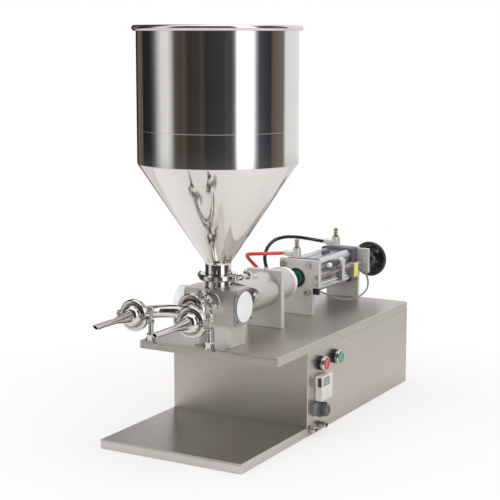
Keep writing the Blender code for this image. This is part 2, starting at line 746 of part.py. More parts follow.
def build_deck():
    """Folded deck plate: a sheet with rims turned down all round, open below, drilled for the air tubes."""
    deck = cuboid(
        "deck_plate", (-HALF_WIDTH, DECK_FRONT, DECK_UNDERSIDE - DECK_BAND),
        (HALF_WIDTH, BASE_LENGTH, DECK_HEIGHT), BRUSHED, edge=TRAY_BEND,
    )
    inner = cuboid(
        "deck_plate.inside", (-HALF_WIDTH + SHEET, DECK_FRONT + SHEET, 0),
        (HALF_WIDTH - SHEET, BASE_LENGTH - SHEET, DECK_HEIGHT - SHEET), BRUSHED,
    )
    below = cuboid(
        "deck_plate.below", (-BASE_WIDTH, DECK_FRONT - OVERRUN, 0),
        (BASE_WIDTH, BASE_LENGTH + OVERRUN, DECK_UNDERSIDE), BRUSHED,
    )
    carve(deck, inner, below)
    for route in (RED_ROUTE, BLACK_ROUTE):
        x, y, _ = route[-1]
        drill(deck, TUBE_RADIUS + GAP, SHEET + 2 * OVERRUN, (x, y, DECK_HEIGHT - SHEET - OVERRUN), UP)
    return deck


def build_underside():
    """Flat plate that closes the base from below; the machine stands on it and on the folded rims."""
    inset = SHEET + GAP
    cuboid(
        "base_plate", (-HALF_WIDTH + inset, inset, 0), (HALF_WIDTH - inset, BASE_LENGTH - inset, SHEET),
        SATIN,
    )


def build_service_panel():
    """Rear panel with cooling slots, and the mains cable gland held in it."""
    panel = cuboid(
        "service_panel", (-SERVICE_WIDTH / 2, GAP, SERVICE_RISE),
        (SERVICE_WIDTH / 2, GAP + SHEET, SERVICE_RISE + SERVICE_HEIGHT), SATIN, (0, BASE_LENGTH, 0),
    )
    first = SERVICE_RISE + SERVICE_HEIGHT / 2 - SLOT_PITCH * (SLOT_COUNT - 1) / 2
    for k in range(SLOT_COUNT):
        z = first + k * SLOT_PITCH
        slot = cuboid(
            f"service_panel.slot.{k}", (-SLOT_OFFSET - SLOT_WIDTH / 2, -OVERRUN, z - SLOT_HEIGHT / 2),
            (-SLOT_OFFSET + SLOT_WIDTH / 2, OVERRUN + SHEET, z + SLOT_HEIGHT / 2), SATIN, (0, BASE_LENGTH, 0),
        )
        carve(panel, slot)
    middle = SERVICE_RISE + SERVICE_HEIGHT / 2
    start = (GLAND_OFFSET, BASE_LENGTH - OVERRUN, middle)
    drill(panel, GLAND_SHANK_RADIUS + GAP, SHEET + 2 * OVERRUN, start, BACK)
    inner = -2 * GAP - SHEET
    turned(
        "cable_gland",
        [
            (GLAND_BORE, GLAND_LENGTH), (GLAND_BORE, inner - GLAND_NUT_THICKNESS),
            (GLAND_RADIUS, inner - GLAND_NUT_THICKNESS), (GLAND_RADIUS, inner), (GLAND_SHANK_RADIUS, inner),
            (GLAND_SHANK_RADIUS, 0), (GLAND_RADIUS, 0), (GLAND_RADIUS, GLAND_LENGTH),
        ],
        BLACK_PLASTIC, (GLAND_OFFSET, BASE_LENGTH + SHEET + 2 * GAP, middle), BACK, COARSE_STEPS,
    )


# Valve

def build_valve_bracket():
    """Inverted channel whose two legs carry the valve block above the deck."""
    bracket = cuboid(
        "valve_bracket", (-BRACKET_WIDTH / 2, BRACKET_FRONT, DECK_HEIGHT + GAP),
        (BRACKET_WIDTH / 2, BRACKET_BACK, BLOCK_BOTTOM - GAP), SATIN,
    )
    clear = BRACKET_WIDTH / 2 - LEG_THICKNESS
    between = cuboid(
        "valve_bracket.between", (-clear, BRACKET_FRONT - OVERRUN, DECK_HEIGHT - OVERRUN),
        (clear, BRACKET_BACK + OVERRUN, BLOCK_BOTTOM - GAP - BRACKET_WEB), SATIN,
    )
    carve(bracket, between)


def build_valve_block():
    """Block bored across for the core, an inlet above, an outlet in front and a port behind; its ferrule."""
    half = Vector((BLOCK_WIDTH, BLOCK_DEPTH, BLOCK_HEIGHT)) / 2
    place = (0, VALVE_Y, AXIS_Z)
    block = cuboid("valve_block", -half, half, BRUSHED, place)
    reach = BLOCK_WIDTH / 2 + OVERRUN
    drill(block, CORE_RADIUS + CORE_CLEARANCE, 2 * reach, (-reach, VALVE_Y, AXIS_Z), RIGHT, FINE_STEPS)
    drill(block, INLET_BORE, BLOCK_HEIGHT / 2 + OVERRUN, place, UP, FINE_STEPS)
    drill(block, OUTLET_BORE, BLOCK_DEPTH / 2 + OVERRUN, (0, VALVE_Y, OUTLET_Z), FRONT, COARSE_STEPS)
    drill(block, INLET_BORE, BLOCK_DEPTH / 2 + OVERRUN, place, BACK, FINE_STEPS)
    face = HOPPER_JOINT_Z - GAP / 2
    turned(
        "inlet_ferrule",
        [(INLET_BORE, BLOCK_TOP + GAP), (NECK_RADIUS, BLOCK_TOP + GAP)]
        + ferrule_end(NECK_RADIUS, HOPPER_FERRULE, face, -1) + [(INLET_BORE, face)],
        POLISHED, (0, VALVE_Y, 0),
    )


def build_end_plates():
    """Square steel end plates with round corners, each bored for the core and with its four screw heads."""
    half_y = BLOCK_DEPTH / 2 - GAP
    half_z = BLOCK_HEIGHT / 2 - GAP
    outline = rounded_rectangle((-half_y, -half_z), (half_y, half_z), END_PLATE_ROUND)
    screw = rod(PLATE_SCREW_RADIUS, PLATE_SCREW_HEIGHT + WELD_DEPTH)
    for hand, axis in (("left", LEFT), ("right", RIGHT)):
        middle = Vector((0, VALVE_Y, AXIS_Z))
        start = middle + axis * BLOCK_WIDTH / 2
        plate = slab(f"end_plate_{hand}", outline, GAP, END_PLATE, SATIN, start, facing(axis, BACK))
        for k, (sy, sz) in enumerate(((1, 1), (-1, 1), (-1, -1), (1, -1))):
            spot = start + BACK * sy * (half_y - PLATE_SCREW_INSET) + UP * sz * (half_z - PLATE_SCREW_INSET)
            spot += axis * (END_PLATE - WELD_DEPTH)
            weld(plate, turned(f"{plate.name}.screw.{k}", screw, SATIN, spot, axis, SCREW_STEPS))
        through = END_PLATE + 2 * OVERRUN
        drill(plate, CORE_RADIUS + CORE_CLEARANCE, through, start - axis * OVERRUN, axis, FINE_STEPS)


def build_valve_core():
    """Plastic core with a tee passage, which turns in the cross bore; its left drum and right disc show."""
    inside = BLOCK_WIDTH / 2 + END_PLATE + GAP
    core = turned(
        "valve_core",
        [
            (0, -inside), (CORE_RADIUS, -inside), (CORE_RADIUS, inside), (CORE_END_RADIUS, inside),
            (CORE_END_RADIUS, inside + CORE_END_LEFT - CORE_CHAMFER),
            (CORE_END_RADIUS - CORE_CHAMFER, inside + CORE_END_LEFT), (0, inside + CORE_END_LEFT),
        ],
        VALVE_PLASTIC, (0, VALVE_Y, AXIS_Z), LEFT,
    )
    drill(core, VALVE_TURN_BORE, CORE_RADIUS + OVERRUN, (0, VALVE_Y, AXIS_Z), UP)
    drill(core, VALVE_TURN_BORE, CORE_RADIUS + OVERRUN, (0, VALVE_Y, AXIS_Z), BACK)
    drill(core, VALVE_TURN_BORE, CORE_RADIUS + OVERRUN, (0, VALVE_Y, AXIS_Z), DOWN)
    turned(
        "core_disc", rod(CORE_END_RADIUS, CORE_END_RIGHT), WHITE_PLASTIC,
        (inside + GAP, VALVE_Y, AXIS_Z), RIGHT,
    )


# Hopper

def build_hopper():
    """Thin shell turned from one profile: ferrule, neck, cone, barrel and rolled rim."""
    face = HOPPER_JOINT_Z + GAP / 2
    neck_top = DECK_HEIGHT + NECK_TOP_RISE
    barrel_foot = DECK_HEIGHT + BARREL_FOOT_RISE
    bead_z = DECK_HEIGHT + HOPPER_TOP_RISE - RIM_BEAD_RADIUS
    bead_r = HOPPER_RADIUS + RIM_BEAD_OUT
    slope = math.atan2(barrel_foot - neck_top, HOPPER_RADIUS - NECK_RADIUS)
    neck_centre, neck_arc = corner_arc(NECK_RADIUS, neck_top, slope, NECK_FILLET, 1)
    foot_centre, foot_arc = corner_arc(HOPPER_RADIUS, barrel_foot, slope, BARREL_FILLET, -1)
    outer = list(reversed(ferrule_end(NECK_RADIUS, HOPPER_FERRULE, face, 1)))
    outer += arc(neck_centre, NECK_FILLET, *neck_arc, FILLET_POINTS)
    outer += arc(foot_centre, BARREL_FILLET, *foot_arc, FILLET_POINTS)
    low = -math.acos(-RIM_BEAD_OUT / RIM_BEAD_RADIUS)
    high = math.tau - math.acos(-(RIM_BEAD_OUT + HOPPER_WALL) / RIM_BEAD_RADIUS)
    bead = arc((bead_r, bead_z), RIM_BEAD_RADIUS, low, high, BEAD_POINTS)
    inner = arc(foot_centre, BARREL_FILLET - HOPPER_WALL, foot_arc[1], foot_arc[0], FILLET_POINTS)
    inner += arc(neck_centre, NECK_FILLET + HOPPER_WALL, neck_arc[1], neck_arc[0], FILLET_POINTS)
    inner.append((NECK_RADIUS - HOPPER_WALL, face))
    turned("hopper", outer + bead + inner, POLISHED, (0, VALVE_Y, 0), UP, HOPPER_STEPS)


def corner_arc(radius, height, slope, fillet, hand):
    """Centre and angles of the fillet between a wall at a radius and a cone that meets it at a height."""
    reach = fillet * math.tan(slope_turn(slope) / 2)
    centre = (radius + hand * fillet, height - hand * reach)
    if hand > 0:
        return centre, (math.pi, math.pi - slope_turn(slope))
    return centre, (-slope_turn(slope), 0)


def slope_turn(slope):
    """Angle between the upright wall and the cone's wall."""
    return math.pi / 2 - slope


# Clamps

def build_clamp(name, centre, axis, opening, outer, ferrule, nut_reach):
    """Two-jaw clamp drawn shut, with its hinge, lugs and eyebolt. Local Z is the pipe, X the opening."""
    lip = ferrule * CLAMP_LIP_SHARE
    seat = FERRULE_LAND + 2 * GAP
    slope_end = min(seat + FERRULE_SLOPE, CLAMP_HALF_WIDTH)
    turn = facing(axis, opening)
    bolt = outer + BOLT_OUT
    body = turned(
        name,
        [
            (outer, -CLAMP_HALF_WIDTH), (outer, CLAMP_HALF_WIDTH), (lip, CLAMP_HALF_WIDTH),
            (lip, slope_end), (ferrule + GAP, seat), (ferrule + GAP, -seat), (lip, -slope_end),
            (lip, -CLAMP_HALF_WIDTH),
        ],
        SATIN, centre, axis, side=opening,
    )
    slot = cuboid(
        f"{name}.slot", (lip - OVERRUN, -CLAMP_SLOT / 2, -CLAMP_HALF_WIDTH - OVERRUN),
        (outer + OVERRUN, CLAMP_SLOT / 2, CLAMP_HALF_WIDTH + OVERRUN), SATIN, centre, turn,
    )
    carve(body, slot)
    for label, hand in (("upper", 1), ("lower", -1)):
        near = hand * CLAMP_SLOT / 2
        far = hand * (CLAMP_SLOT / 2 + LUG_THICKNESS)
        lug = cuboid(
            f"{name}.{label}_lug", (outer - LUG_SINK, min(near, far), -LUG_HALF_WIDTH),
            (bolt + LUG_PAST_BOLT, max(near, far), LUG_HALF_WIDTH), SATIN, centre, turn,
        )
        weld(body, lug)
    hinge = cuboid(
        f"{name}.hinge", (-outer - HINGE_REACH, -HINGE_HALF_HEIGHT, -LUG_HALF_WIDTH + GAP),
        (-outer + LUG_SINK, HINGE_HALF_HEIGHT, LUG_HALF_WIDTH - GAP), SATIN, centre, turn,
    )
    pin_place = local_point(centre, turn, (-outer - HINGE_REACH / 2, 0, -HINGE_PIN_LENGTH / 2))
    pin = turned(f"{name}.pin", rod(HINGE_PIN_RADIUS, HINGE_PIN_LENGTH), SATIN, pin_place, axis, COARSE_STEPS)
    eye_place = local_point(centre, turn, (bolt, BOLT_TOP, -EYE_LENGTH / 2))
    eye = turned(f"{name}.eye", rod(EYE_RADIUS, EYE_LENGTH), SATIN, eye_place, axis, COARSE_STEPS)
    length = BOLT_TOP + nut_reach + WING_HUB_HEIGHT + BOLT_PAST_NUT
    down = turn @ Vector((0, -1, 0))
    shaft_place = local_point(centre, turn, (bolt, BOLT_TOP, 0))
    shaft = turned(f"{name}.bolt", rod(BOLT_RADIUS, length), SATIN, shaft_place, down, COARSE_STEPS)
    weld(body, hinge, pin, eye, shaft)
    nut_place = local_point(centre, turn, (bolt, -nut_reach, 0))
    return body, nut_place, down, turn @ Vector((math.cos(WING_TURN), 0, math.sin(WING_TURN)))


def local_point(place, turn, offset):
    """A point given in a piece's own axes, in the machine's axes."""
    return Vector(place) + turn @ Vector(offset)


def build_wing_nut(name, place, axis, side):
    """Wing nut whose origin lies on its bolt's axis, with two raised wings."""
    bore = BOLT_RADIUS + GAP
    nut = turned(
        name,
        [(WING_HUB_RADIUS, 0), (WING_HUB_TIP, WING_HUB_HEIGHT), (bore, WING_HUB_HEIGHT), (bore, 0)],
        SATIN, place, axis, COARSE_STEPS, side=side,
    )
    turn = facing(axis, side)
    for label, hand in (("near", 1), ("far", -1)):
        outline = [(hand * x * WING_SPAN, z * WING_RISE) for x, z in WING_OUTLINE_SHARES]
        upright = turn @ Matrix(((1, 0, 0), (0, 0, -1), (0, 1, 0)))
        wing = slab(
            f"{name}.{label}_wing", outline, -WING_THICKNESS / 2, WING_THICKNESS / 2, SATIN, place, upright,
        )
        weld(nut, wing)
    drill(nut, bore, WING_RISE + 2 * OVERRUN, Vector(place) - Vector(axis) * OVERRUN, axis)
    return nut


def build_clamps():
    """The hopper clamp, the outlet clamp and the two nozzle clamps with their wing nuts."""
    roll = Vector((math.cos(OUTLET_CLAMP_ROLL), 0, math.sin(OUTLET_CLAMP_ROLL)))
    above = (0, VALVE_Y, HOPPER_JOINT_Z)
    ahead = (0, OUTLET_JOINT_Y, OUTLET_Z)
    left = (-ARCH_RADIUS, NOZZLE_JOINT_Y, OUTLET_Z)
    right = (ARCH_RADIUS, NOZZLE_JOINT_Y, OUTLET_Z)
    sets = [
        ("hopper", above, DOWN, RIGHT, HOPPER_CLAMP_OUTER, HOPPER_FERRULE, HOPPER_NUT_REACH),
        ("outlet", ahead, FRONT, roll, CLAMP_OUTER, FERRULE, OUTLET_NUT_DROP),
        ("left_nozzle", left, FRONT, RIGHT, CLAMP_OUTER, FERRULE, NOZZLE_NUT_DROP),
        ("right_nozzle", right, FRONT, RIGHT, CLAMP_OUTER, FERRULE, NOZZLE_NUT_DROP),
    ]
    for label, centre, axis, opening, outer, ferrule, reach in sets:
        _, place, down, side = build_clamp(f"{label}_clamp", centre, axis, opening, outer, ferrule, reach)
        build_wing_nut(f"{label}_wing_nut", place, down, side)


# Outlet

def build_outlet_stub():
    """Polished stub from the block's front face to its ferrule."""
    face = OUTLET_JOINT_REACH - GAP / 2
    profile = [
        (STUB_FOOT_RADIUS, GAP), (STUB_FOOT_RADIUS, STUB_FOOT_LENGTH),
        (STUB_NECK_RADIUS, STUB_FOOT_LENGTH + STUB_TAPER),
    ]
    profile += ferrule_end(STUB_NECK_RADIUS, FERRULE, face, -1) + [(STUB_BORE, face), (STUB_BORE, GAP)]
    turned("outlet_stub", profile, POLISHED, (0, BLOCK_FRONT, OUTLET_Z), FRONT)


def build_manifold():
    """Forked pipe: a half circle with two short legs and a central branch, each end with a ferrule."""
    arch = [
        (ARCH_RADIUS * math.cos(a), ARCH_Y + ARCH_RADIUS * math.sin(a), OUTLET_Z)
        for a in (math.pi * k / ARCH_POINTS for k in range(ARCH_POINTS + 1))
    ]
    leg_end = NOZZLE_JOINT_Y + GAP / 2 + FERRULE_LAND
    path = [(ARCH_RADIUS, leg_end, OUTLET_Z)] + arch + [(-ARCH_RADIUS, leg_end, OUTLET_Z)]
    manifold = swept("outlet_manifold", path, PIPE_RADIUS, PIPE_SIDES, POLISHED)
    apex = ARCH_Y + ARCH_RADIUS - SHEET
    face = OUTLET_JOINT_Y - GAP / 2 - apex
    profile = [(0, 0), (BRANCH_RADIUS, 0), (BRANCH_RADIUS, face * BRANCH_STRAIGHT_SHARE)]
    profile += ferrule_end(STUB_NECK_RADIUS, FERRULE, face, -1) + [(0, face)]
    branch = turned("outlet_manifold.branch", profile, POLISHED, (0, apex, OUTLET_Z), BACK)
    weld(manifold, branch)
    for label, side in (("left", -1), ("right", 1)):
        start = ARCH_Y + SHEET
        face = start - NOZZLE_JOINT_Y - GAP / 2
        end = turned(
            f"outlet_manifold.{label}_ferrule",
            [(0, 0), (LEG_RADIUS, 0)] + ferrule_end(LEG_RADIUS, FERRULE, face, -1) + [(0, face)],
            POLISHED, (side * ARCH_RADIUS, start, OUTLET_Z), FRONT,
        )
        weld(manifold, end)
    past = NOZZLE_JOINT_Y - OVERRUN
    longer = [(ARCH_RADIUS, past, OUTLET_Z)] + arch + [(-ARCH_RADIUS, past, OUTLET_Z)]
    passage = swept("outlet_manifold.passage", longer, PIPE_BORE, PIPE_SIDES, POLISHED)
    branch_bore = turned(
        "outlet_manifold.branch_bore", rod(BRANCH_BORE, OUTLET_JOINT_Y - apex + OVERRUN), POLISHED,
        (0, apex, OUTLET_Z), BACK,
    )
    carve(manifold, passage, branch_bore)


def build_nozzles():
    """Two nozzles: ferrule, domed reducer, long cone and a tube with a slanting tip."""
    dome_end = FERRULE_LAND + FERRULE_SLOPE + NOZZLE_DOME_LENGTH
    cone_end = dome_end + NOZZLE_CONE_LENGTH
    flange = list(reversed(ferrule_end(NOZZLE_DOME_RADIUS - GAP, FERRULE - GAP, GAP / 2, 1)))[:-1]
    dome = [
        (NOZZLE_SHOULDER_RADIUS + (NOZZLE_DOME_RADIUS - NOZZLE_SHOULDER_RADIUS) * math.cos(a),
         FERRULE_LAND + FERRULE_SLOPE + NOZZLE_DOME_LENGTH * math.sin(a))
        for a in (math.pi / 2 * k / FILLET_POINTS for k in range(FILLET_POINTS + 1))
    ]
    profile = flange + dome + [
        (NOZZLE_TUBE_RADIUS, cone_end), (NOZZLE_TUBE_RADIUS, NOZZLE_LENGTH), (NOZZLE_BORE, NOZZLE_LENGTH),
        (NOZZLE_BORE, cone_end), (PIPE_BORE, FERRULE_LAND), (PIPE_BORE, GAP / 2),
    ]
    for hand, side in (("left", -1), ("right", 1)):
        place = Vector((side * ARCH_RADIUS, NOZZLE_JOINT_Y, OUTLET_Z))
        nozzle = turned(f"nozzle_{hand}", profile, POLISHED, place, FRONT, NOZZLE_STEPS)
        tip = place + FRONT * NOZZLE_LENGTH + UP * NOZZLE_TUBE_RADIUS
        turn = Matrix.Rotation(-TIP_ANGLE, 3, "X")
        size = NOZZLE_TUBE_RADIUS * TIP_CUTTER_SHARE
        wedge = cuboid(f"{nozzle.name}.tip", (-size, -size, -size), (size, size, 0), POLISHED, tip, turn)
        carve(nozzle, wedge)


# Material cylinder

def build_material_cylinder():
    """Stepped tube with a two-eared flange at its front end, held against the block by two cap nuts."""
    start = Vector((0, BLOCK_BACK + GAP, AXIS_Z))
    shoulder = SUPPORT_Y - BLOCK_BACK - 2 * GAP
    sunk = FLANGE_THICKNESS / 2
    profile = [
        (0, sunk), (TUBE_FRONT_RADIUS, sunk), (TUBE_FRONT_RADIUS, shoulder), (TUBE_REAR_RADIUS, shoulder),
        (TUBE_REAR_RADIUS, TUBE_LENGTH), (0, TUBE_LENGTH),
    ]
    tube = turned("material_cylinder", profile, SATIN, start, BACK, side=RIGHT)
    ears = []
    hull = math.acos((FLANGE_HUB - EAR_RADIUS) / EAR_REACH)
    for k in range(2):
        middle = k * math.pi
        centre = (EAR_REACH * math.cos(middle), EAR_REACH * math.sin(middle))
        ears += arc(centre, EAR_RADIUS, middle - hull, middle + hull, EAR_POINTS)
        ears += arc((0, 0), FLANGE_HUB, middle + hull, middle + math.pi - hull, EAR_POINTS)
    tilted = Vector((math.cos(EAR_TILT), 0, math.sin(EAR_TILT)))
    flange = slab("material_cylinder.flange", ears, 0, FLANGE_THICKNESS, SATIN, start, facing(BACK, tilted))
    weld(tube, flange)
    drill(tube, TUBE_BORE, TUBE_LENGTH + 2 * OVERRUN, start + FRONT * OVERRUN, BACK, FINE_STEPS)
    for hand, side in (("left", -1), ("right", 1)):
        spot = start + tilted * side * EAR_REACH + BACK * FLANGE_THICKNESS
        half = CAP_NUT_HEIGHT / 2
        dome = arc((0, half), CAP_NUT_RADIUS, 0, math.pi / 2, FILLET_POINTS + 1)
        squashed = [(radius, half + (height - half) * half / CAP_NUT_RADIUS) for radius, height in dome[:-1]]
        profile = [(0, -half), (CAP_NUT_RADIUS, -half)] + squashed + [(0, CAP_NUT_HEIGHT)]
        nut = turned(f"material_cylinder.nut_{hand}", profile, SATIN, spot, BACK, COARSE_STEPS)
        weld(tube, nut)


def build_support():
    """Upright plate round the tube, split at the axis into a lower support and a cap."""
    top = AXIS_Z + TUBE_REAR_RADIUS + SUPPORT_TOP_MARGIN
    half = SUPPORT_WIDTH / 2
    hole = TUBE_REAR_RADIUS + GAP
    lower = cuboid(
        "cylinder_support", (-half, SUPPORT_Y, DECK_HEIGHT + GAP),
        (half, SUPPORT_Y + SUPPORT_THICKNESS, AXIS_Z - GAP / 2), SATIN,
    )
    cap = cuboid(
        "support_cap", (-half, SUPPORT_Y, AXIS_Z + GAP / 2),
        (half, SUPPORT_Y + SUPPORT_THICKNESS, top), SATIN,
    )
    through = SUPPORT_THICKNESS + 2 * OVERRUN
    for piece in (lower, cap):
        drill(piece, hole, through, (0, SUPPORT_Y - OVERRUN, AXIS_Z), BACK, FINE_STEPS)


def build_piston():
    """Plastic material piston with two ring grooves, and the rod with its air piston."""
    radius = TUBE_BORE - PISTON_CLEARANCE
    back = TUBE_END + PISTON_PROUD
    groove = radius - RING_GROOVE_DEPTH
    profile = [(0, 0), (radius - PISTON_CHAMFER, 0), (radius, PISTON_CHAMFER)]
    for share in RING_PLACE_SHARES:
        low = PISTON_LENGTH * share
        high = low + RING_GROOVE_WIDTH
        profile += [(radius, low), (groove, low), (groove, high), (radius, high)]
    profile += [(radius, PISTON_LENGTH), (0, PISTON_LENGTH)]
    turned("piston", profile, WHITE_PLASTIC, (0, back - PISTON_LENGTH, AXIS_Z), BACK)
    start = back + GAP
    end = REAR_HEAD_Y - GAP - AIR_PISTON_BACK_GAP
    length = end - start
    disc = AIR_BORE - PISTON_CLEARANCE
    shoulder = length - AIR_PISTON_LENGTH
    turned(
        "piston_rod",
        [(0, 0), (ROD_RADIUS, 0), (ROD_RADIUS, shoulder), (disc, shoulder), (disc, length), (0, length)],
        POLISHED, (0, start, AXIS_Z), BACK,
    )


# Air cylinder

def arm_outline(width, arm, top, arm_top):
    """Front outline of a bracket plate whose upper part reaches out to the right, seen from the front."""
    half = width / 2
    low = AXIS_Z - ARM_DROP
    return [
        (-half, DECK_HEIGHT + GAP), (half, DECK_HEIGHT + GAP), (half, low), (half + arm, low),
        (half + arm, arm_top), (half, arm_top), (half, top), (-half, top),
    ]


def build_brackets():
    """Two upright plates that hold the air cylinder; their arms hold the adjusting screw and guide rod."""
    upright = Matrix(((1, 0, 0), (0, 0, -1), (0, 1, 0)))
    plates = [
        ("front_bracket", PLATE_B_Y, BRACKET_PLATE, ARM_WIDTH_FRONT, PLATE_TOP, PLATE_TOP),
        ("rear_bracket", PLATE_C_Y, REAR_PLATE, ARM_WIDTH_REAR, HEAD_TOP, HEAD_TOP - REAR_ARM_TOP_DROP),
    ]
    for name, y, thickness, arm, top, arm_top in plates:
        outline = arm_outline(BRACKET_PLATE_WIDTH, arm, top, arm_top)
        outline = [point for k, point in enumerate(outline) if point != outline[k - 1]]
        plate = slab(name, outline, -thickness, 0, SATIN, (0, y, 0), upright)
        through = thickness + 2 * OVERRUN
        drill(plate, SCREW_RADIUS + SCREW_CLEARANCE, through, (SCREW_OUT, y - OVERRUN, SCREW_Z), BACK)
        drill(plate, GUIDE_RADIUS + GAP, through, (GUIDE_OUT, y - OVERRUN, GUIDE_Z), BACK)
        if name == "front_bracket":
            drill(plate, NOSE_RADIUS + GAP, through, (0, y - OVERRUN, AXIS_Z), BACK, FINE_STEPS)
            add_tie_nuts(plate, y)


def add_tie_nuts(plate, y):
    """Four tie-rod nuts on the front plate's front face, joined to it."""
    for k, (sx, sz) in enumerate(((1, 1), (-1, 1), (-1, -1), (1, -1))):
        nut = turned(
            f"{plate.name}.tie_nut.{k}", rod(TIE_NUT_RADIUS, TIE_NUT_HEIGHT + WELD_DEPTH), SATIN,
            (sx * TIE_REACH, y + WELD_DEPTH, AXIS_Z + sz * TIE_REACH), FRONT, HEX_STEPS,
        )
        weld(plate, nut)


def barrel_outline():
    """Section of the extruded barrel: round corner ribs with flats set back between them."""
    lean = math.acos((BARREL_FLAT - BARREL_CORNER_REACH) / BARREL_CORNER)
    outline = []
    for k in range(4):
        turn = k * math.pi / 2
        corner = BARREL_CORNER_REACH * math.sqrt(2)
        middle = turn + math.pi / 4
        centre = (corner * math.cos(middle), corner * math.sin(middle))
        outline += arc(centre, BARREL_CORNER, turn - lean, turn + math.pi / 2 + lean, CORNER_POINTS)
    return outline


def build_air_cylinder():
    """Front head with its nose, extruded barrel, rear head and the green rod seal."""
    square = rounded_rectangle((-HALF_HEAD, -HALF_HEAD), (HALF_HEAD, HALF_HEAD), HEAD_ROUND)
    turn = facing(BACK, RIGHT)
    front = slab("front_head", square, 0, FRONT_HEAD_LENGTH, GREY_CAST, (0, FRONT_HEAD_Y, AXIS_Z), turn)
    nose_front = PLATE_B_Y - NOSE_PROUD
    nose = turned(
        "front_head.nose", rod(NOSE_RADIUS, FRONT_HEAD_Y - nose_front + OVERRUN), GREY_CAST,
        (0, nose_front, AXIS_Z), BACK,
    )
    weld(front, nose)
    start = (0, nose_front - OVERRUN, AXIS_Z)
    through = FRONT_HEAD_Y + FRONT_HEAD_LENGTH - nose_front + 2 * OVERRUN
    drill(front, ROD_RADIUS + ROD_CLEARANCE, through, start, BACK, FINE_STEPS)
    drill(front, SEAL_RADIUS + GAP, SEAL_DEPTH + OVERRUN, start, BACK, FINE_STEPS)
    seal = ring(SEAL_RADIUS, ROD_RADIUS + ROD_CLEARANCE, 0, SEAL_DEPTH + SEAL_PROUD - GAP)
    turned("rod_seal", seal, GREEN_SEAL, (0, nose_front - SEAL_PROUD, AXIS_Z), BACK)
    barrel = slab(
        "air_cylinder_barrel", barrel_outline(), 0, BARREL_LENGTH, ALUMINIUM, (0, BARREL_Y, AXIS_Z), turn,
    )
    through = BARREL_LENGTH + 2 * OVERRUN
    drill(barrel, AIR_BORE, through, (0, BARREL_Y - OVERRUN, AXIS_Z), BACK, FINE_STEPS)
    slab("rear_head", square, 0, REAR_HEAD_LENGTH, GREY_CAST, (0, REAR_HEAD_Y, AXIS_Z), turn)


# Air supply

def build_flow_valves():
    """Two flow valves on the cylinder's heads, each with an elbow and a brass needle."""
    elbow_axis = Vector((math.cos(ELBOW_ANGLE), math.sin(ELBOW_ANGLE), 0))
    places = {"front": FRONT_HEAD_Y + FRONT_VALVE_SETBACK, "rear": REAR_HEAD_Y + REAR_VALVE_SETBACK}
    for label, y in places.items():
        base = Vector((VALVE_SIDE_SHIFT, y, HEAD_TOP + GAP))
        body = turned(f"flow_valve_{label}", rod(VALVE_BODY_RADIUS, VALVE_BODY_HEIGHT), ALUMINIUM, base)
        elbow = turned(
            f"flow_valve_{label}.elbow",
            [
                (0, 0), (ELBOW_RADIUS, 0), (ELBOW_RADIUS, ELBOW_LENGTH), (COLLAR_RADIUS, ELBOW_LENGTH),
                (COLLAR_RADIUS, ELBOW_LENGTH + COLLAR_LENGTH), (0, ELBOW_LENGTH + COLLAR_LENGTH),
            ],
            ALUMINIUM, base + UP * ELBOW_RISE, elbow_axis, COARSE_STEPS,
        )
        weld(body, elbow)
        drill(body, NEEDLE_STEM + GAP, VALVE_BODY_HEIGHT, base + UP * VALVE_BODY_HEIGHT / 2, UP)
        seat = VALVE_BODY_HEIGHT + GAP
        lock = seat + NEEDLE_NUT_HEIGHT
        disc = lock + NEEDLE_NECK
        disc_top = disc + NEEDLE_DISC_HEIGHT
        knob = disc_top + NEEDLE_NECK
        knob_top = knob + NEEDLE_KNOB_HEIGHT
        bottom = VALVE_BODY_HEIGHT / 2 + GAP
        turned(
            f"flow_needle_{label}",
            [
                (0, bottom), (NEEDLE_STEM, bottom), (NEEDLE_STEM, seat), (NEEDLE_NUT_RADIUS, seat),
                (NEEDLE_NUT_RADIUS, lock), (NEEDLE_STEM, lock), (NEEDLE_STEM, disc),
                (NEEDLE_DISC_RADIUS, disc), (NEEDLE_DISC_RADIUS, disc_top), (NEEDLE_STEM, disc_top),
                (NEEDLE_STEM, knob), (NEEDLE_KNOB_RADIUS, knob), (NEEDLE_KNOB_RADIUS, knob_top),
                (0, knob_top),
            ],
            BRASS, base, UP, COARSE_STEPS,
        )


def fitting_places():
    """Where the two tube fittings leave the cabinet's side wall."""
    return [
        (HALF_WIDTH, CABINET_FRONT + FITTING_FIRST + k * FITTING_PITCH, FITTING_RISE)
        for k in range(len(FITTING_LENGTHS))
    ]


def build_fittings():
    """Two push-in tube fittings low on the cabinet's side wall."""
    for label, place, length in zip(("front", "rear"), fitting_places(), FITTING_LENGTHS):
        turned(
            f"air_fitting_{label}",
            [
                (FITTING_SHANK_RADIUS, -FITTING_SHANK_LENGTH), (FITTING_SHANK_RADIUS, GAP),
                (FITTING_HEX_RADIUS, GAP), (FITTING_HEX_RADIUS, FITTING_HEX_LENGTH),
                (FITTING_BARREL_RADIUS, FITTING_HEX_LENGTH), (FITTING_BARREL_RADIUS, length),
                (FITTING_BORE, length), (FITTING_BORE, -FITTING_SHANK_LENGTH),
            ],
            SATIN, place, RIGHT, COARSE_STEPS,
        )


# Stroke setting

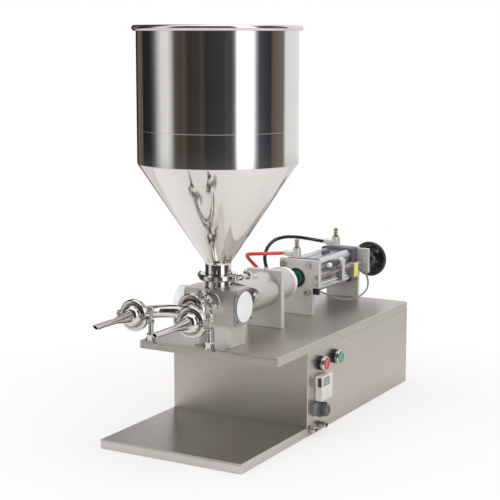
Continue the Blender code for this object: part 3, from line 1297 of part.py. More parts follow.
def wheel_profile():
    """Half section of the handwheel: hub, dished web and round rim; height runs away from the cylinder."""
    rim_centre = WHEEL_RADIUS - WHEEL_RIM
    bore = SCREW_RADIUS + GAP
    front = arc((rim_centre, 0), WHEEL_RIM, -math.pi / 2, math.pi / 2, RIM_POINTS)
    hub_end = WHEEL_DISH - WHEEL_HUB_LENGTH
    return [
        (bore, hub_end), (WHEEL_HUB_RADIUS, hub_end), (WHEEL_HUB_RADIUS, WHEEL_DISH - WHEEL_WEB),
        (rim_centre - WHEEL_RIM, -WHEEL_RIM / 2),
    ] + front + [
        (rim_centre - WHEEL_RIM, WHEEL_RIM / 2), (WHEEL_HUB_RADIUS + WHEEL_RIM, WHEEL_DISH),
        (bore, WHEEL_DISH),
    ]


def build_stroke_setting():
    """Adjusting screw with its handwheel, guide rod, sliding sensor bracket and both sensors."""
    screw_front = PLATE_B_Y - SCREW_FRONT_PAST
    end = WHEEL_Y + WHEEL_HUB_LENGTH - screw_front
    collar_low = PLATE_C_BACK + GAP - screw_front
    collar_high = collar_low + SCREW_COLLAR_LENGTH
    turned(
        "adjusting_screw",
        [
            (0, 0), (SCREW_RADIUS, 0), (SCREW_RADIUS, collar_low), (COLLAR_ON_SCREW, collar_low),
            (COLLAR_ON_SCREW, collar_high), (SCREW_RADIUS, collar_high), (SCREW_RADIUS, end), (0, end),
        ],
        POLISHED, (SCREW_OUT, screw_front, SCREW_Z), BACK, COARSE_STEPS,
    )
    hub_start = WHEEL_Y + WHEEL_HUB_LENGTH - WHEEL_DISH
    middle = (SCREW_OUT, hub_start, SCREW_Z)
    wheel = turned("handwheel", wheel_profile(), BLACK_PLASTIC, middle, BACK, FINE_STEPS)
    boss_way = Vector((1, 0, 1)).normalized()
    boss = turned(
        "handwheel.boss", rod(WHEEL_BOSS_RADIUS, WHEEL_BOSS_HEIGHT + WHEEL_RIM / 2), BLACK_PLASTIC,
        Vector(middle) + boss_way * WHEEL_BOSS_REACH, FRONT, COARSE_STEPS,
    )
    weld(wheel, boss)
    turned(
        "guide_rod", rod(GUIDE_RADIUS, PLATE_C_BACK - PLATE_B_Y), POLISHED,
        (GUIDE_OUT, PLATE_B_Y, GUIDE_Z), BACK, COARSE_STEPS,
    )
    slider = cuboid(
        "sensor_slider", (SCREW_OUT - SLIDER_WIDTH / 2 + GAP, SLIDER_Y, GUIDE_Z - SLIDER_BOTTOM_DROP),
        (SCREW_OUT + SLIDER_WIDTH / 2, SLIDER_Y + SLIDER_DEPTH, SCREW_Z + SLIDER_TOP_RISE), ALUMINIUM,
    )
    sensor_z = SCREW_Z + SENSOR_RISE
    holder = turned(
        "sensor_slider.holder", rod(SENSOR_HOLDER_RADIUS, SLIDER_DEPTH), ALUMINIUM,
        (SCREW_OUT, SLIDER_Y, sensor_z), BACK, COARSE_STEPS,
    )
    weld(slider, holder)
    through = SLIDER_DEPTH + 2 * OVERRUN
    drill(slider, SCREW_RADIUS + SCREW_CLEARANCE, through, (SCREW_OUT, SLIDER_Y - OVERRUN, SCREW_Z), BACK)
    drill(slider, GUIDE_RADIUS + GAP, through, (GUIDE_OUT, SLIDER_Y - OVERRUN, GUIDE_Z), BACK)
    drill(slider, SENSOR_RADIUS + GAP, through, (SCREW_OUT, SLIDER_Y - OVERRUN, sensor_z), BACK)
    sensor_back = SLIDER_Y + SLIDER_DEPTH + SENSOR_PAST_SLIDER
    turned(
        "round_sensor", rod(SENSOR_RADIUS, SENSOR_LENGTH), WHITE_PLASTIC,
        (SCREW_OUT, sensor_back - SENSOR_LENGTH, sensor_z), BACK, COARSE_STEPS,
    )
    reed = cuboid(
        "reed_sensor", (SCREW_OUT - REED_WIDTH / 2, REED_Y, GUIDE_Z - REED_BOTTOM_DROP),
        (SCREW_OUT + REED_WIDTH, REED_Y + REED_DEPTH, SCREW_Z + REED_TOP_RISE), YELLOW_LABEL, edge=REED_ROUND,
    )
    through = REED_DEPTH + 2 * OVERRUN
    drill(reed, SCREW_RADIUS + SCREW_CLEARANCE, through, (SCREW_OUT, REED_Y - OVERRUN, SCREW_Z), BACK)
    drill(reed, GUIDE_RADIUS + GAP, through, (GUIDE_OUT, REED_Y - OVERRUN, GUIDE_Z), BACK)


def build_cable_clip():
    """Tapered clip beside the front bracket, under its arm, that takes the sensor cable."""
    left = BRACKET_PLATE_WIDTH / 2 + GAP
    low = DECK_HEIGHT + CLIP_RISE - CLIP_HEIGHT / 2
    inset = CLIP_HEIGHT * (1 - CLIP_TAPER_SHARE) / 2
    right = BRACKET_PLATE_WIDTH / 2 + CLIP_WIDTH
    high = AXIS_Z - ARM_DROP - GAP
    outline = [(left, low + inset), (right, low), (right, high), (left, high)]
    upright = Matrix(((1, 0, 0), (0, 0, -1), (0, 1, 0)))
    slab("cable_clip", outline, -BRACKET_PLATE + GAP, -GAP, BLACK_RUBBER, (0, PLATE_B_Y, 0), upright)


# Controls

def button_places():
    """Where the two buttons pass the cabinet's side wall."""
    first = CABINET_FRONT + RED_BUTTON_SETBACK
    return {
        "red": (HALF_WIDTH, first, BUTTON_RISE),
        "green": (HALF_WIDTH, first + BUTTON_PITCH, BUTTON_RISE),
    }


def dial_place():
    """Where the dial's shank passes the cabinet's side wall."""
    return (HALF_WIDTH, CABINET_FRONT + DIAL_SETBACK, DIAL_RISE)


def build_buttons():
    """Red and green push buttons: a round body with a well, and a cap that travels in it."""
    finishes = {"red": RED_CAP, "green": GREEN_CAP}
    for colour, place in button_places().items():
        floor = BUTTON_LENGTH - BUTTON_WELL_DEPTH
        turned(
            f"{colour}_button_body",
            [
                (0, -BUTTON_SHANK_LENGTH), (BUTTON_SHANK_RADIUS, -BUTTON_SHANK_LENGTH),
                (BUTTON_SHANK_RADIUS, GAP), (BUTTON_RADIUS, GAP), (BUTTON_RADIUS, BUTTON_LENGTH),
                (CAP_RADIUS + GAP, BUTTON_LENGTH), (CAP_RADIUS + GAP, floor), (0, floor),
            ],
            BLACK_PLASTIC, place, RIGHT, FINE_STEPS,
        )
        top = BUTTON_LENGTH + CAP_PROUD - BUTTON_TRAVEL / 2
        turned(
            f"{colour}_button_cap",
            [
                (0, top - CAP_LENGTH), (CAP_RADIUS, top - CAP_LENGTH), (CAP_RADIUS, top - CAP_EDGE),
                (CAP_RADIUS - CAP_EDGE, top), (0, top),
            ],
            finishes[colour], place, RIGHT, FINE_STEPS,
        )


def build_counter():
    """Counter unit: a bezel outside the wall and a smaller body behind it."""
    place = (HALF_WIDTH, CABINET_FRONT + COUNTER_SETBACK, COUNTER_RISE)
    wide = COUNTER_WIDTH / 2
    high = COUNTER_HEIGHT / 2
    unit = cuboid(
        "counter_unit", (GAP, -wide, -high), (COUNTER_PROUD, wide, high), BEIGE_PLASTIC, place,
        edge=COUNTER_EDGE,
    )
    inset = COUNTER_BODY_INSET
    body = cuboid(
        "counter_unit.body", (-COUNTER_DEPTH, -wide + inset, -high + inset),
        (COUNTER_PROUD / 2, wide - inset, high - inset), BEIGE_PLASTIC, place,
    )
    weld(unit, body)


def build_dial():
    """Round dial flange, and a knob with a skirt and a raised pointer that turns in front of it."""
    place = Vector(dial_place())
    turned(
        "dial_flange",
        [
            (0, -DIAL_SHANK_LENGTH), (DIAL_SHANK_RADIUS, -DIAL_SHANK_LENGTH), (DIAL_SHANK_RADIUS, GAP),
            (DIAL_FLANGE_RADIUS, GAP), (DIAL_FLANGE_RADIUS, DIAL_FLANGE_LENGTH), (0, DIAL_FLANGE_LENGTH),
        ],
        GREY_PLASTIC, place, RIGHT, FINE_STEPS,
    )
    start = DIAL_FLANGE_LENGTH + GAP
    skirt = start + DIAL_SKIRT_LENGTH
    top = skirt + DIAL_GRIP_LENGTH
    knob = turned(
        "dial_knob",
        [
            (0, start), (DIAL_SKIRT_RADIUS, start), (DIAL_SKIRT_RADIUS, skirt), (DIAL_GRIP_RADIUS, skirt),
            (DIAL_GRIP_RADIUS, top - DIAL_EDGE), (DIAL_GRIP_RADIUS - DIAL_EDGE, top), (0, top),
        ],
        GREY_PLASTIC, place, RIGHT, FINE_STEPS,
    )
    ridge = cuboid(
        "dial_knob.ridge", (skirt - DIAL_SKIRT_LENGTH / 2, -DIAL_RIDGE_WIDTH / 2, 0),
        (top - DIAL_EDGE, DIAL_RIDGE_WIDTH / 2, DIAL_GRIP_RADIUS + DIAL_RIDGE_HEIGHT), GREY_PLASTIC, place,
    )
    weld(knob, ridge)


for thing in list(bpy.data.objects):
    bpy.data.objects.remove(thing, do_unlink=True)

machine = new_empty("machine", (0, -BASE_LENGTH / 2, 0))
build_tray()
build_cabinet()
build_deck()
build_underside()
build_service_panel()
build_valve_bracket()
build_valve_block()
build_end_plates()
build_valve_core()
build_hopper()
build_clamps()
build_outlet_stub()
build_manifold()
build_nozzles()
build_material_cylinder()
build_support()
build_piston()
build_brackets()
build_air_cylinder()
build_flow_valves()
build_fittings()
build_stroke_setting()
build_cable_clip()
build_buttons()
build_counter()
build_dial()
cord("red_air_tube", RED_ROUTE, TUBE_RADIUS, CORD_SPACING, RED_TUBE)
cord("black_air_tube", BLACK_ROUTE, TUBE_RADIUS, CORD_SPACING, BLACK_TUBE)
cord("sensor_cable", CABLE_ROUTE, CABLE_RADIUS, CABLE_SPACING, GREY_CABLE)
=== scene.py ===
import math

import bmesh
import bpy
from mathutils import Matrix, Vector


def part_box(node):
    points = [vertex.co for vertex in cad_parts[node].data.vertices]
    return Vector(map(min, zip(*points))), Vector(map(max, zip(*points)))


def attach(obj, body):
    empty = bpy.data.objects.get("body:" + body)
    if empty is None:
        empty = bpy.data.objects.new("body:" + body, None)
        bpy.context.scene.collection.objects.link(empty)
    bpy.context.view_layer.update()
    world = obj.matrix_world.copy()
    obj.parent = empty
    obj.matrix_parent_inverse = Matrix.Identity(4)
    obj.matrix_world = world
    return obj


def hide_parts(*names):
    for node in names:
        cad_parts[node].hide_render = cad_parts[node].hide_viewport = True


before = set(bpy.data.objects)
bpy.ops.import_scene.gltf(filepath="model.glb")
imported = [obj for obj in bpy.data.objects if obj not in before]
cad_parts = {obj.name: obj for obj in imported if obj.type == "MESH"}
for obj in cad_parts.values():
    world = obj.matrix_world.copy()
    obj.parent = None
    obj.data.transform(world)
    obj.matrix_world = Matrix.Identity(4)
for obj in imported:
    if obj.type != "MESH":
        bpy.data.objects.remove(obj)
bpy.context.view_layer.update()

# General
GAP = 0.0003
MERGE = 0.000001
SHEET = 0.002
SMOOTH_ANGLE = math.radians(40)
EASE_ANGLE = math.radians(22)
EASE_POINTS = 3
STEPS = 72
FINE_STEPS = 96
MEDIUM_STEPS = 48
SMALL_STEPS = 32
EDGE = 0.0005
FINE_EDGE = 0.00025

# Turns a flat outline in X and Z upright, its thickness towards the front
UPRIGHT = Matrix(((1, 0, 0), (0, 0, -1), (0, 1, 0)))
UP = Vector((0, 0, 1))
DOWN = Vector((0, 0, -1))
RIGHT = Vector((1, 0, 0))
LEFT = Vector((-1, 0, 0))
BACK = Vector((0, 1, 0))
FRONT = Vector((0, -1, 0))

# Camera, as the photograph has it
CAMERA_PLACE = (1.3277, -2.4208, 0.8019)
CAMERA_YAW = math.radians(29.50)
CAMERA_PITCH = math.radians(9.24)
CAMERA_ROLL = math.radians(0.06)
CAMERA_LENS = 95.14
SENSOR = 36.0

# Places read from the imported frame
TRAY_LOW, TRAY_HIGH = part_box("tray_pan")
CABINET_LOW, CABINET_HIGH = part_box("cabinet_shell")
DECK_LOW, DECK_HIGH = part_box("deck_plate")
BLOCK_LOW, BLOCK_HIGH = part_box("valve_block")
VALVE = (BLOCK_LOW + BLOCK_HIGH) / 2
AXIS_Z = VALVE.z
DECK_TOP = DECK_HIGH.z
SHIFT_Y = TRAY_LOW.y
HOPPER_JOINT = Vector((0, VALVE.y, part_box("hopper")[0].z - GAP / 2))
OUTLET_JOINT = Vector((0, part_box("outlet_stub")[0].y - GAP / 2, DECK_TOP + 0.0905))
ARCH_RADIUS = 0.064
NOZZLE_JOINT_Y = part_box("nozzle_left")[1].y + GAP / 2

# Sizes that several pieces share
HOPPER_RADIUS = 0.158
HOPPER_WALL = 0.002
NECK_RADIUS = 0.0258
FERRULE = 0.02525
HOPPER_FERRULE = 0.032
FERRULE_LAND = 0.0014
FERRULE_SLOPE = 0.0016
CLAMP_OUTER = 0.0305
HOPPER_CLAMP_OUTER = 0.0385
HEX_CHAMFER = 0.0006
FOLD = 0.0035
INNER_FOLD = 0.0015
BRACKET_HALF = 0.041
FRONT_PLATE = 0.011
REAR_PLATE = 0.010
HEAD_HALF = 0.0395
TIE_REACH = 0.030
SCREW_X = 0.050
SCREW_PLACE = Vector((SCREW_X, 0, 0.277))
GUIDE_X = 0.049
GUIDE_PLACE = Vector((GUIDE_X, 0, 0.259))
SENSOR_RISE = 0.0175
CORNERS = ((1, 1), (-1, 1), (-1, -1), (1, -1))

# Routes of the tubes and the cable, from the tray's front edge, as in the part
RED_ROUTE = [
    (-0.0344, 0.5271, 0.3236), (-0.0440, 0.5200, 0.3238), (-0.0560, 0.5060, 0.3240),
    (-0.0700, 0.4910, 0.3245), (-0.0830, 0.4830, 0.3243), (-0.0940, 0.4800, 0.3232),
    (-0.1010, 0.4810, 0.3205), (-0.1035, 0.4855, 0.3160), (-0.1030, 0.4940, 0.3085),
    (-0.0985, 0.5060, 0.2965), (-0.0930, 0.5160, 0.2830), (-0.0880, 0.5220, 0.2640),
    (-0.0850, 0.5240, 0.2420), (-0.0840, 0.5245, 0.2200), (-0.0840, 0.5245, 0.1980),
    (-0.0840, 0.5245, 0.1650),
]
BLACK_ROUTE = [
    (-0.0344, 0.7247, 0.3236), (-0.0450, 0.7175, 0.3260), (-0.0590, 0.7040, 0.3300),
    (-0.0750, 0.6790, 0.3360), (-0.0890, 0.6450, 0.3405), (-0.0990, 0.6200, 0.3385),
    (-0.1060, 0.6090, 0.3330), (-0.1110, 0.6000, 0.3250), (-0.1135, 0.5930, 0.3160),
    (-0.1140, 0.5870, 0.3060), (-0.1130, 0.5835, 0.2940), (-0.1090, 0.5840, 0.2750),
    (-0.1040, 0.5870, 0.2550), (-0.1010, 0.5890, 0.2350), (-0.1000, 0.5900, 0.2150),
    (-0.1000, 0.5900, 0.1650),
]
CABLE_ROUTE = [
    (0.0540, 0.7149, 0.2720), (0.0550, 0.7210, 0.2715), (0.0610, 0.7290, 0.2680),
    (0.0690, 0.7370, 0.2570), (0.0735, 0.7430, 0.2390), (0.0755, 0.7380, 0.2230),
    (0.0765, 0.7180, 0.2130), (0.0765, 0.6800, 0.2080), (0.0750, 0.6400, 0.2100),
    (0.0720, 0.6000, 0.2170), (0.0670, 0.5700, 0.2270), (0.0590, 0.5500, 0.2370),
    (0.0510, 0.5400, 0.2425), (0.0480, 0.5336, 0.2432),
]
TUBE_RADIUS = 0.004
CABLE_RADIUS = 0.002
ROUTE_STEPS = 12


# Materials

class Nodes:
    """A node tree, with short calls for the nodes that the finishes and the studio share."""

    def __init__(self, tree):
        self.tree = tree

    def add(self, kind, inputs=(), **settings):
        node = self.tree.nodes.new(kind)
        for key, value in settings.items():
            setattr(node, key, value)
        for socket, value in dict(inputs).items():
            self.feed(node.inputs[socket], value)
        return node

    def feed(self, socket, value):
        if isinstance(value, bpy.types.NodeSocket):
            self.tree.links.new(value, socket)
        else:
            socket.default_value = value

    def noise(self, stretch, detail=4.0, roughness=0.55, offset=(0, 0, 0)):
        """Noise whose grain runs along the axes with the smallest stretch, in the piece's own metres."""
        where = self.add("ShaderNodeTexCoord").outputs["Object"]
        mapped = self.add("ShaderNodeMapping", {"Vector": where, "Scale": stretch, "Location": offset})
        made = self.add("ShaderNodeTexNoise", {
            "Vector": mapped.outputs["Vector"], "Scale": 1.0, "Detail": detail, "Roughness": roughness,
        })
        return made.outputs["Fac"]

    def ramp(self, value, low, high, to_low, to_high):
        """The value carried from one range to another, and held at its ends."""
        made = self.add("ShaderNodeMapRange", {
            "Value": value, "From Min": low, "From Max": high, "To Min": to_low, "To Max": to_high,
        })
        return made.outputs["Result"]

    def math(self, operation, first, second):
        made = self.add("ShaderNodeMath", {0: first, 1: second}, operation=operation)
        return made.outputs[0]

    def blend(self, factor, first, second):
        """A colour between two colours."""
        made = self.add("ShaderNodeMix", data_type="RGBA")
        self.feed(made.inputs[0], factor)
        self.feed(made.inputs[6], first if isinstance(first, bpy.types.NodeSocket) else (*first, 1))
        self.feed(made.inputs[7], second if isinstance(second, bpy.types.NodeSocket) else (*second, 1))
        return made.outputs[2]

    def either(self, factor, first, second):
        """A value between two values."""
        made = self.add("ShaderNodeMix", {0: factor, 2: first, 3: second}, data_type="FLOAT")
        return made.outputs[0]


class Finish(Nodes):
    """A new material, with its nodes round the Principled shader."""

    def __init__(self, name):
        self.material = bpy.data.materials.new(name)
        self.material.use_nodes = True
        super().__init__(self.material.node_tree)
        self.shader = self.tree.nodes["Principled BSDF"]

    def bump(self, height, distance):
        made = self.add("ShaderNodeBump", {"Height": height, "Distance": distance, "Strength": 1.0})
        self.feed(self.shader.inputs["Normal"], made.outputs["Normal"])

    def set(self, **values):
        for key, value in values.items():
            self.feed(self.shader.inputs[key.replace("_", " ")], value)


WEAR_PATCHES = (7.0, 7.0, 7.0)
TONE_PATCHES = (24.0, 24.0, 24.0)


def metal(name, dark, light, rough, grain, depth, metallic=1.0, flat_grain=None):
    """Bare metal: fine drawn grain, slow patches of wear and handling, and a bump from the grain."""
    made = Finish(name)
    streaks = made.noise(grain, 3.0, 0.6)
    if flat_grain:
        lying = made.noise(flat_grain, 3.0, 0.6)
        normal = made.add("ShaderNodeNewGeometry").outputs["Normal"]
        upward = made.add("ShaderNodeSeparateXYZ", {0: normal}).outputs["Z"]
        level = made.math("ABSOLUTE", upward, 0.0)
        streaks = made.either(made.ramp(level, 0.6, 0.8, 0.0, 1.0), streaks, lying)
    cloud = made.noise(WEAR_PATCHES, 3.0, 0.5, (3.1, 1.7, 0.4))
    tone = made.math("ADD", made.ramp(streaks, 0.3, 0.7, 0.0, 0.6), made.ramp(cloud, 0.3, 0.7, 0.0, 0.4))
    low, high = rough
    handled = made.ramp(cloud, 0.35, 0.7, 0.0, (high - low) * 0.5)
    drawn = made.ramp(streaks, 0.3, 0.7, low, low + (high - low) * 0.5)
    made.set(
        Base_Color=made.blend(tone, dark, light), Metallic=metallic, Roughness=made.math("ADD", handled, drawn),
    )
    made.bump(streaks, depth)
    return made.material


def moulded(name, dark, light, rough, texture=900.0, depth=0.00004, coat=0.0, glow=0.0):
    """Moulded plastic or rubber: fine texture, slow patches of tone and slightly uneven gloss."""
    made = Finish(name)
    fine = made.noise((texture, texture, texture), 2.0, 0.5)
    cloud = made.noise(TONE_PATCHES, 4.0, 0.6, (0.7, 2.3, 1.1))
    low, high = rough
    made.set(
        Base_Color=made.blend(made.ramp(cloud, 0.3, 0.7, 0.0, 1.0), dark, light),
        Roughness=made.ramp(cloud, 0.3, 0.7, low, high),
    )
    if coat:
        made.shader.inputs["Coat Weight"].default_value = coat
    if glow:
        made.shader.inputs["Subsurface Weight"].default_value = glow
        made.shader.inputs["Subsurface Radius"].default_value = (0.004, 0.004, 0.004)
    made.bump(fine, depth)
    return made.material


BRUSHED = metal(
    "brushed_sheet", (0.54, 0.50, 0.455), (0.70, 0.665, 0.625), (0.32, 0.46), (4, 4, 1400), 0.000005,
    flat_grain=(1400, 4, 4),
)
# The tray's brushed sheet, painted lighter than the cabinet's: a painted reflection of the bright surroundings.
BRIGHTENED_TRAY_SHEET = metal(
    "brushed_tray_painted_light", (0.62, 0.59, 0.55), (0.78, 0.755, 0.72), (0.30, 0.42), (4, 4, 1400), 0.000005,
    flat_grain=(1400, 4, 4),
)
MIRROR = metal(
    "mirror_sheet", (0.755, 0.725, 0.70), (0.845, 0.82, 0.80), (0.05, 0.12), (5, 5, 1100), 0.000002,
)
POLISHED = metal(
    "polished_turned", (0.68, 0.655, 0.63), (0.82, 0.80, 0.775), (0.06, 0.14), (9, 9, 1500), 0.000001,
)
SATIN = metal(
    "satin_plate", (0.70, 0.675, 0.63), (0.81, 0.79, 0.75), (0.36, 0.50), (30, 30, 1500), 0.000005,
    metallic=0.45,
)
GROUND = metal(
    "ground_block", (0.56, 0.52, 0.485), (0.78, 0.74, 0.705), (0.28, 0.40), (8, 8, 1300), 0.000003,
    metallic=0.85,
)
END_PLATE = metal(
    "end_plate_sheet", (0.44, 0.43, 0.43), (0.58, 0.565, 0.565), (0.30, 0.42), (9, 9, 1300), 0.000003,
)
TURNED = metal(
    "turned_satin", (0.64, 0.605, 0.575), (0.80, 0.77, 0.745), (0.26, 0.38), (9, 9, 1800), 0.000003,
)
CAST = metal("cast_clamp", (0.58, 0.555, 0.53), (0.80, 0.775, 0.75), (0.10, 0.20), (90, 90, 90), 0.000004)
ALUMINIUM = metal(
    "drawn_aluminium", (0.68, 0.69, 0.71), (0.83, 0.84, 0.86), (0.30, 0.42), (900, 900, 7), 0.000004,
)
NICKEL = metal(
    "nickel_plate", (0.72, 0.71, 0.66), (0.84, 0.83, 0.79), (0.30, 0.42), (60, 60, 60), 0.000002, metallic=0.45,
)
BRASS = metal("brass_turned", (0.48, 0.35, 0.20), (0.74, 0.58, 0.38), (0.20, 0.36), (30, 30, 900), 0.000004)
SCREW_STEEL = metal(
    "screw_steel", (0.42, 0.38, 0.34), (0.66, 0.61, 0.55), (0.16, 0.30), (40, 40, 600), 0.000004,
)
GREY_CAST = moulded("painted_cast", (0.085, 0.095, 0.115), (0.13, 0.14, 0.165), (0.38, 0.5), 500.0, 0.00008)
WHITE = moulded("white_plastic_look", (0.89, 0.90, 0.91), (0.95, 0.96, 0.97), (0.30, 0.42), glow=0.35)
BLACK = moulded("black_plastic_look", (0.010, 0.010, 0.011), (0.022, 0.022, 0.024), (0.16, 0.30))
GLOSS_BLACK = moulded(
    "gloss_black", (0.008, 0.008, 0.009), (0.016, 0.016, 0.018), (0.05, 0.11), depth=0.00001, coat=0.6,
)
RUBBER = moulded("rubber_look", (0.018, 0.018, 0.019), (0.035, 0.035, 0.037), (0.55, 0.7))
RED_PLASTIC = moulded("red_cap_look", (0.46, 0.030, 0.040), (0.60, 0.065, 0.075), (0.22, 0.34), coat=0.3)
GREEN_PLASTIC = moulded("green_cap_look", (0.0, 0.30, 0.17), (0.005, 0.42, 0.25), (0.22, 0.34), coat=0.3)
SEAL_GREEN = moulded("green_seal_look", (0.0, 0.13, 0.08), (0.01, 0.24, 0.15), (0.16, 0.30), coat=0.4)
BEIGE = moulded("beige_plastic_look", (0.71, 0.68, 0.61), (0.80, 0.775, 0.71), (0.36, 0.50))
YELLOW = moulded("yellow_label_look", (0.86, 0.74, 0.05), (0.95, 0.86, 0.18), (0.30, 0.42))
GREY_MOULD = moulded("grey_plastic_look", (0.055, 0.057, 0.060), (0.10, 0.102, 0.108), (0.26, 0.40))
DIAL_GREY = moulded("dial_grey", (0.26, 0.26, 0.27), (0.36, 0.36, 0.37), (0.34, 0.48))
PRINT_WHITE = moulded("print_white", (0.80, 0.80, 0.79), (0.90, 0.90, 0.89), (0.4, 0.5))
GLASS_GREY = moulded("display_window", (0.20, 0.24, 0.27), (0.30, 0.34, 0.37), (0.05, 0.12), coat=0.5)
GLASS_BROWN = moulded("brown_window", (0.035, 0.022, 0.016), (0.07, 0.045, 0.03), (0.06, 0.14), coat=0.5)
RED_TUBE = moulded(
    "red_tube_look", (0.66, 0.035, 0.008), (0.82, 0.075, 0.02), (0.10, 0.2), coat=0.4, glow=0.15,
)
BLACK_TUBE = moulded("black_tube_look", (0.010, 0.011, 0.013), (0.022, 0.023, 0.026), (0.10, 0.2), coat=0.4)
GREY_CABLE = moulded("grey_cable_look", (0.20, 0.20, 0.21), (0.30, 0.30, 0.31), (0.38, 0.5))


# Building helpers

def facing(axis, side=None):
    """Rotation that turns local +Z to the axis and, where given, local +X to the side."""
    axis = Vector(axis).normalized()
    if side is None:
        return axis.to_track_quat("Z", "Y").to_matrix()
    side = Vector(side).normalized()
    return Matrix((side, axis.cross(side), axis)).transposed()


def from_bmesh(name, bm, finish, place=(0, 0, 0), turn=None):
    """Turns a bmesh into an object at its place."""
    bmesh.ops.recalc_face_normals(bm, faces=bm.faces)
    mesh = bpy.data.meshes.new(name)
    bm.to_mesh(mesh)
    bm.free()
    mesh.shade_smooth()
    mesh.set_sharp_from_angle(angle=SMOOTH_ANGLE)
    obj = bpy.data.objects.new(name, mesh)
    mesh.materials.append(finish)
    bpy.context.collection.objects.link(obj)
    obj.matrix_world = Matrix.Translation(Vector(place)) @ (turn or Matrix.Identity(3)).to_4x4()
    return obj


def eased(profile, radius, closed):
    """A profile with its corners rounded off."""
    made = []
    count = len(profile)
    for k in range(count):
        here = Vector(profile[k])
        if not closed and k in (0, count - 1):
            made.append(tuple(here))
            continue
        back = Vector(profile[k - 1]) - here
        ahead = Vector(profile[(k + 1) % count]) - here
        turn = math.pi - back.angle(ahead)
        if turn < EASE_ANGLE:
            made.append(tuple(here))
            continue
        cut = min(radius * math.tan(turn / 2), back.length * 0.45, ahead.length * 0.45)
        start = here + back.normalized() * cut
        end = here + ahead.normalized() * cut
        for j in range(EASE_POINTS + 1):
            t = j / EASE_POINTS
            made.append(tuple(start * (1 - t) ** 2 + here * (2 * t * (1 - t)) + end * t ** 2))
    return made


def turned(name, profile, finish, place, axis=UP, steps=STEPS, side=None, edge=EDGE):
    """A body of revolution about local Z from (radius, height) points, with eased corners."""
    hollow = profile[0][0] > 0
    if edge:
        profile = eased(profile, edge, hollow)
    bm = bmesh.new()
    verts = [bm.verts.new((radius, 0, height)) for radius, height in profile]
    edges = [bm.edges.new(pair) for pair in zip(verts, verts[1:])]
    if hollow:
        edges.append(bm.edges.new((verts[-1], verts[0])))
    bmesh.ops.spin(
        bm, geom=verts + edges, cent=(0, 0, 0), axis=(0, 0, 1), dvec=(0, 0, 0), angle=math.tau,
        steps=steps, use_merge=True,
    )
    bmesh.ops.remove_doubles(bm, verts=bm.verts, dist=MERGE)
    return from_bmesh(name, bm, finish, place, facing(axis, side))


def rod(radius, length):
    """Profile of a plain round bar that starts at height zero."""
    return [(0, 0), (radius, 0), (radius, length), (0, length)]


def ring(outer, inner, low, high):
    """Profile of a plain ring between two heights."""
    return [(outer, low), (outer, high), (inner, high), (inner, low)]


def cuboid(name, low, high, finish, place=(0, 0, 0), turn=None, edge=EDGE, segments=3):
    """A box between two corners in local axes, with round edges."""
    bm = bmesh.new()
    bmesh.ops.create_cube(bm, size=1)
    low = Vector(low)
    high = Vector(high)
    for vert in bm.verts:
        vert.co = Vector(((low[k] + high[k]) / 2 + vert.co[k] * (high[k] - low[k]) for k in range(3)))
    if edge:
        bmesh.ops.bevel(bm, geom=bm.edges, offset=edge, segments=segments, profile=0.5, affect="EDGES")
    return from_bmesh(name, bm, finish, place, turn)


def notch(low, high, place=(0, 0, 0), turn=None, edge=0):
    """A box-shaped cutter between two corners."""
    return cuboid("cutter", low, high, RUBBER, place, turn, edge)


def slab(name, outline, low, high, finish, place=(0, 0, 0), turn=None):
    """A flat outline in local XY, raised between two heights along local Z."""
    bm = bmesh.new()
    face = bm.faces.new([bm.verts.new((x, y, low)) for x, y in outline])
    grown = bmesh.ops.extrude_face_region(bm, geom=[face])
    top = [item for item in grown["geom"] if isinstance(item, bmesh.types.BMVert)]
    bmesh.ops.translate(bm, verts=top, vec=(0, 0, high - low))
    return from_bmesh(name, bm, finish, place, turn)


def arc(centre, radius, start, end, points):
    """Points on a circle in a plane, both ends included."""
    angles = [start + (end - start) * k / (points - 1) for k in range(points)]
    return [(centre[0] + radius * math.cos(a), centre[1] + radius * math.sin(a)) for a in angles]


def rounded_rectangle(low, high, radius, points=8):
    """Corner points of a rectangle with round corners, run counterclockwise."""
    outline = []
    corners = [(high[0], high[1], 0), (low[0], high[1], 1), (low[0], low[1], 2), (high[0], low[1], 3)]
    for x, y, quarter in corners:
        centre = (
            x + math.copysign(radius, (low[0] + high[0]) / 2 - x),
            y + math.copysign(radius, (low[1] + high[1]) / 2 - y),
        )
        start = quarter * math.pi / 2
        outline += arc(centre, radius, start, start + math.pi / 2, points)
    return outline


def regular(radius, sides):
    """Corner points of a regular polygon."""
    angles = [math.tau * k / sides for k in range(sides)]
    return [(radius * math.cos(a), radius * math.sin(a)) for a in angles]


def settle(obj):
    """Applies the object's modifiers to its mesh."""
    graph = bpy.context.evaluated_depsgraph_get()
    mesh = bpy.data.meshes.new_from_object(obj.evaluated_get(graph), depsgraph=graph)
    obj.modifiers.clear()
    obj.data = mesh
    return obj


def in_order(mesh):
    """The mesh with its vertices and faces sorted, since a Boolean leaves them in another order each run."""
    places = [tuple(vert.co) for vert in mesh.vertices]
    order = sorted(range(len(places)), key=lambda k: places[k])
    rank = {old: new for new, old in enumerate(order)}
    faces = []
    for face in mesh.polygons:
        loop = [rank[k] for k in face.vertices]
        first = loop.index(min(loop))
        faces.append(loop[first:] + loop[:first])
    made = bpy.data.meshes.new(mesh.name)
    made.from_pydata([places[k] for k in order], [], sorted(faces))
    for finish in mesh.materials:
        made.materials.append(finish)
    return made


def combine(target, tools, operation):
    """Joins the tools to the target, or cuts them out of it, and removes them."""
    for tool in tools:
        change = target.modifiers.new("change", "BOOLEAN")
        change.operation = operation
        change.solver = "EXACT"
        change.object = tool
    bpy.context.view_layer.update()
    settle(target)
    target.data = in_order(target.data)
    for tool in tools:
        bpy.data.objects.remove(tool, do_unlink=True)
    return target


def carve(target, *tools):
    return combine(target, tools, "DIFFERENCE")


def weld(target, *tools):
    return combine(target, tools, "UNION")


def bore(radius, length, place, axis, steps=STEPS):
    """A round cutter that starts at the place and runs along the axis."""
    return turned("cutter", rod(radius, length), RUBBER, place, axis, steps, edge=0)


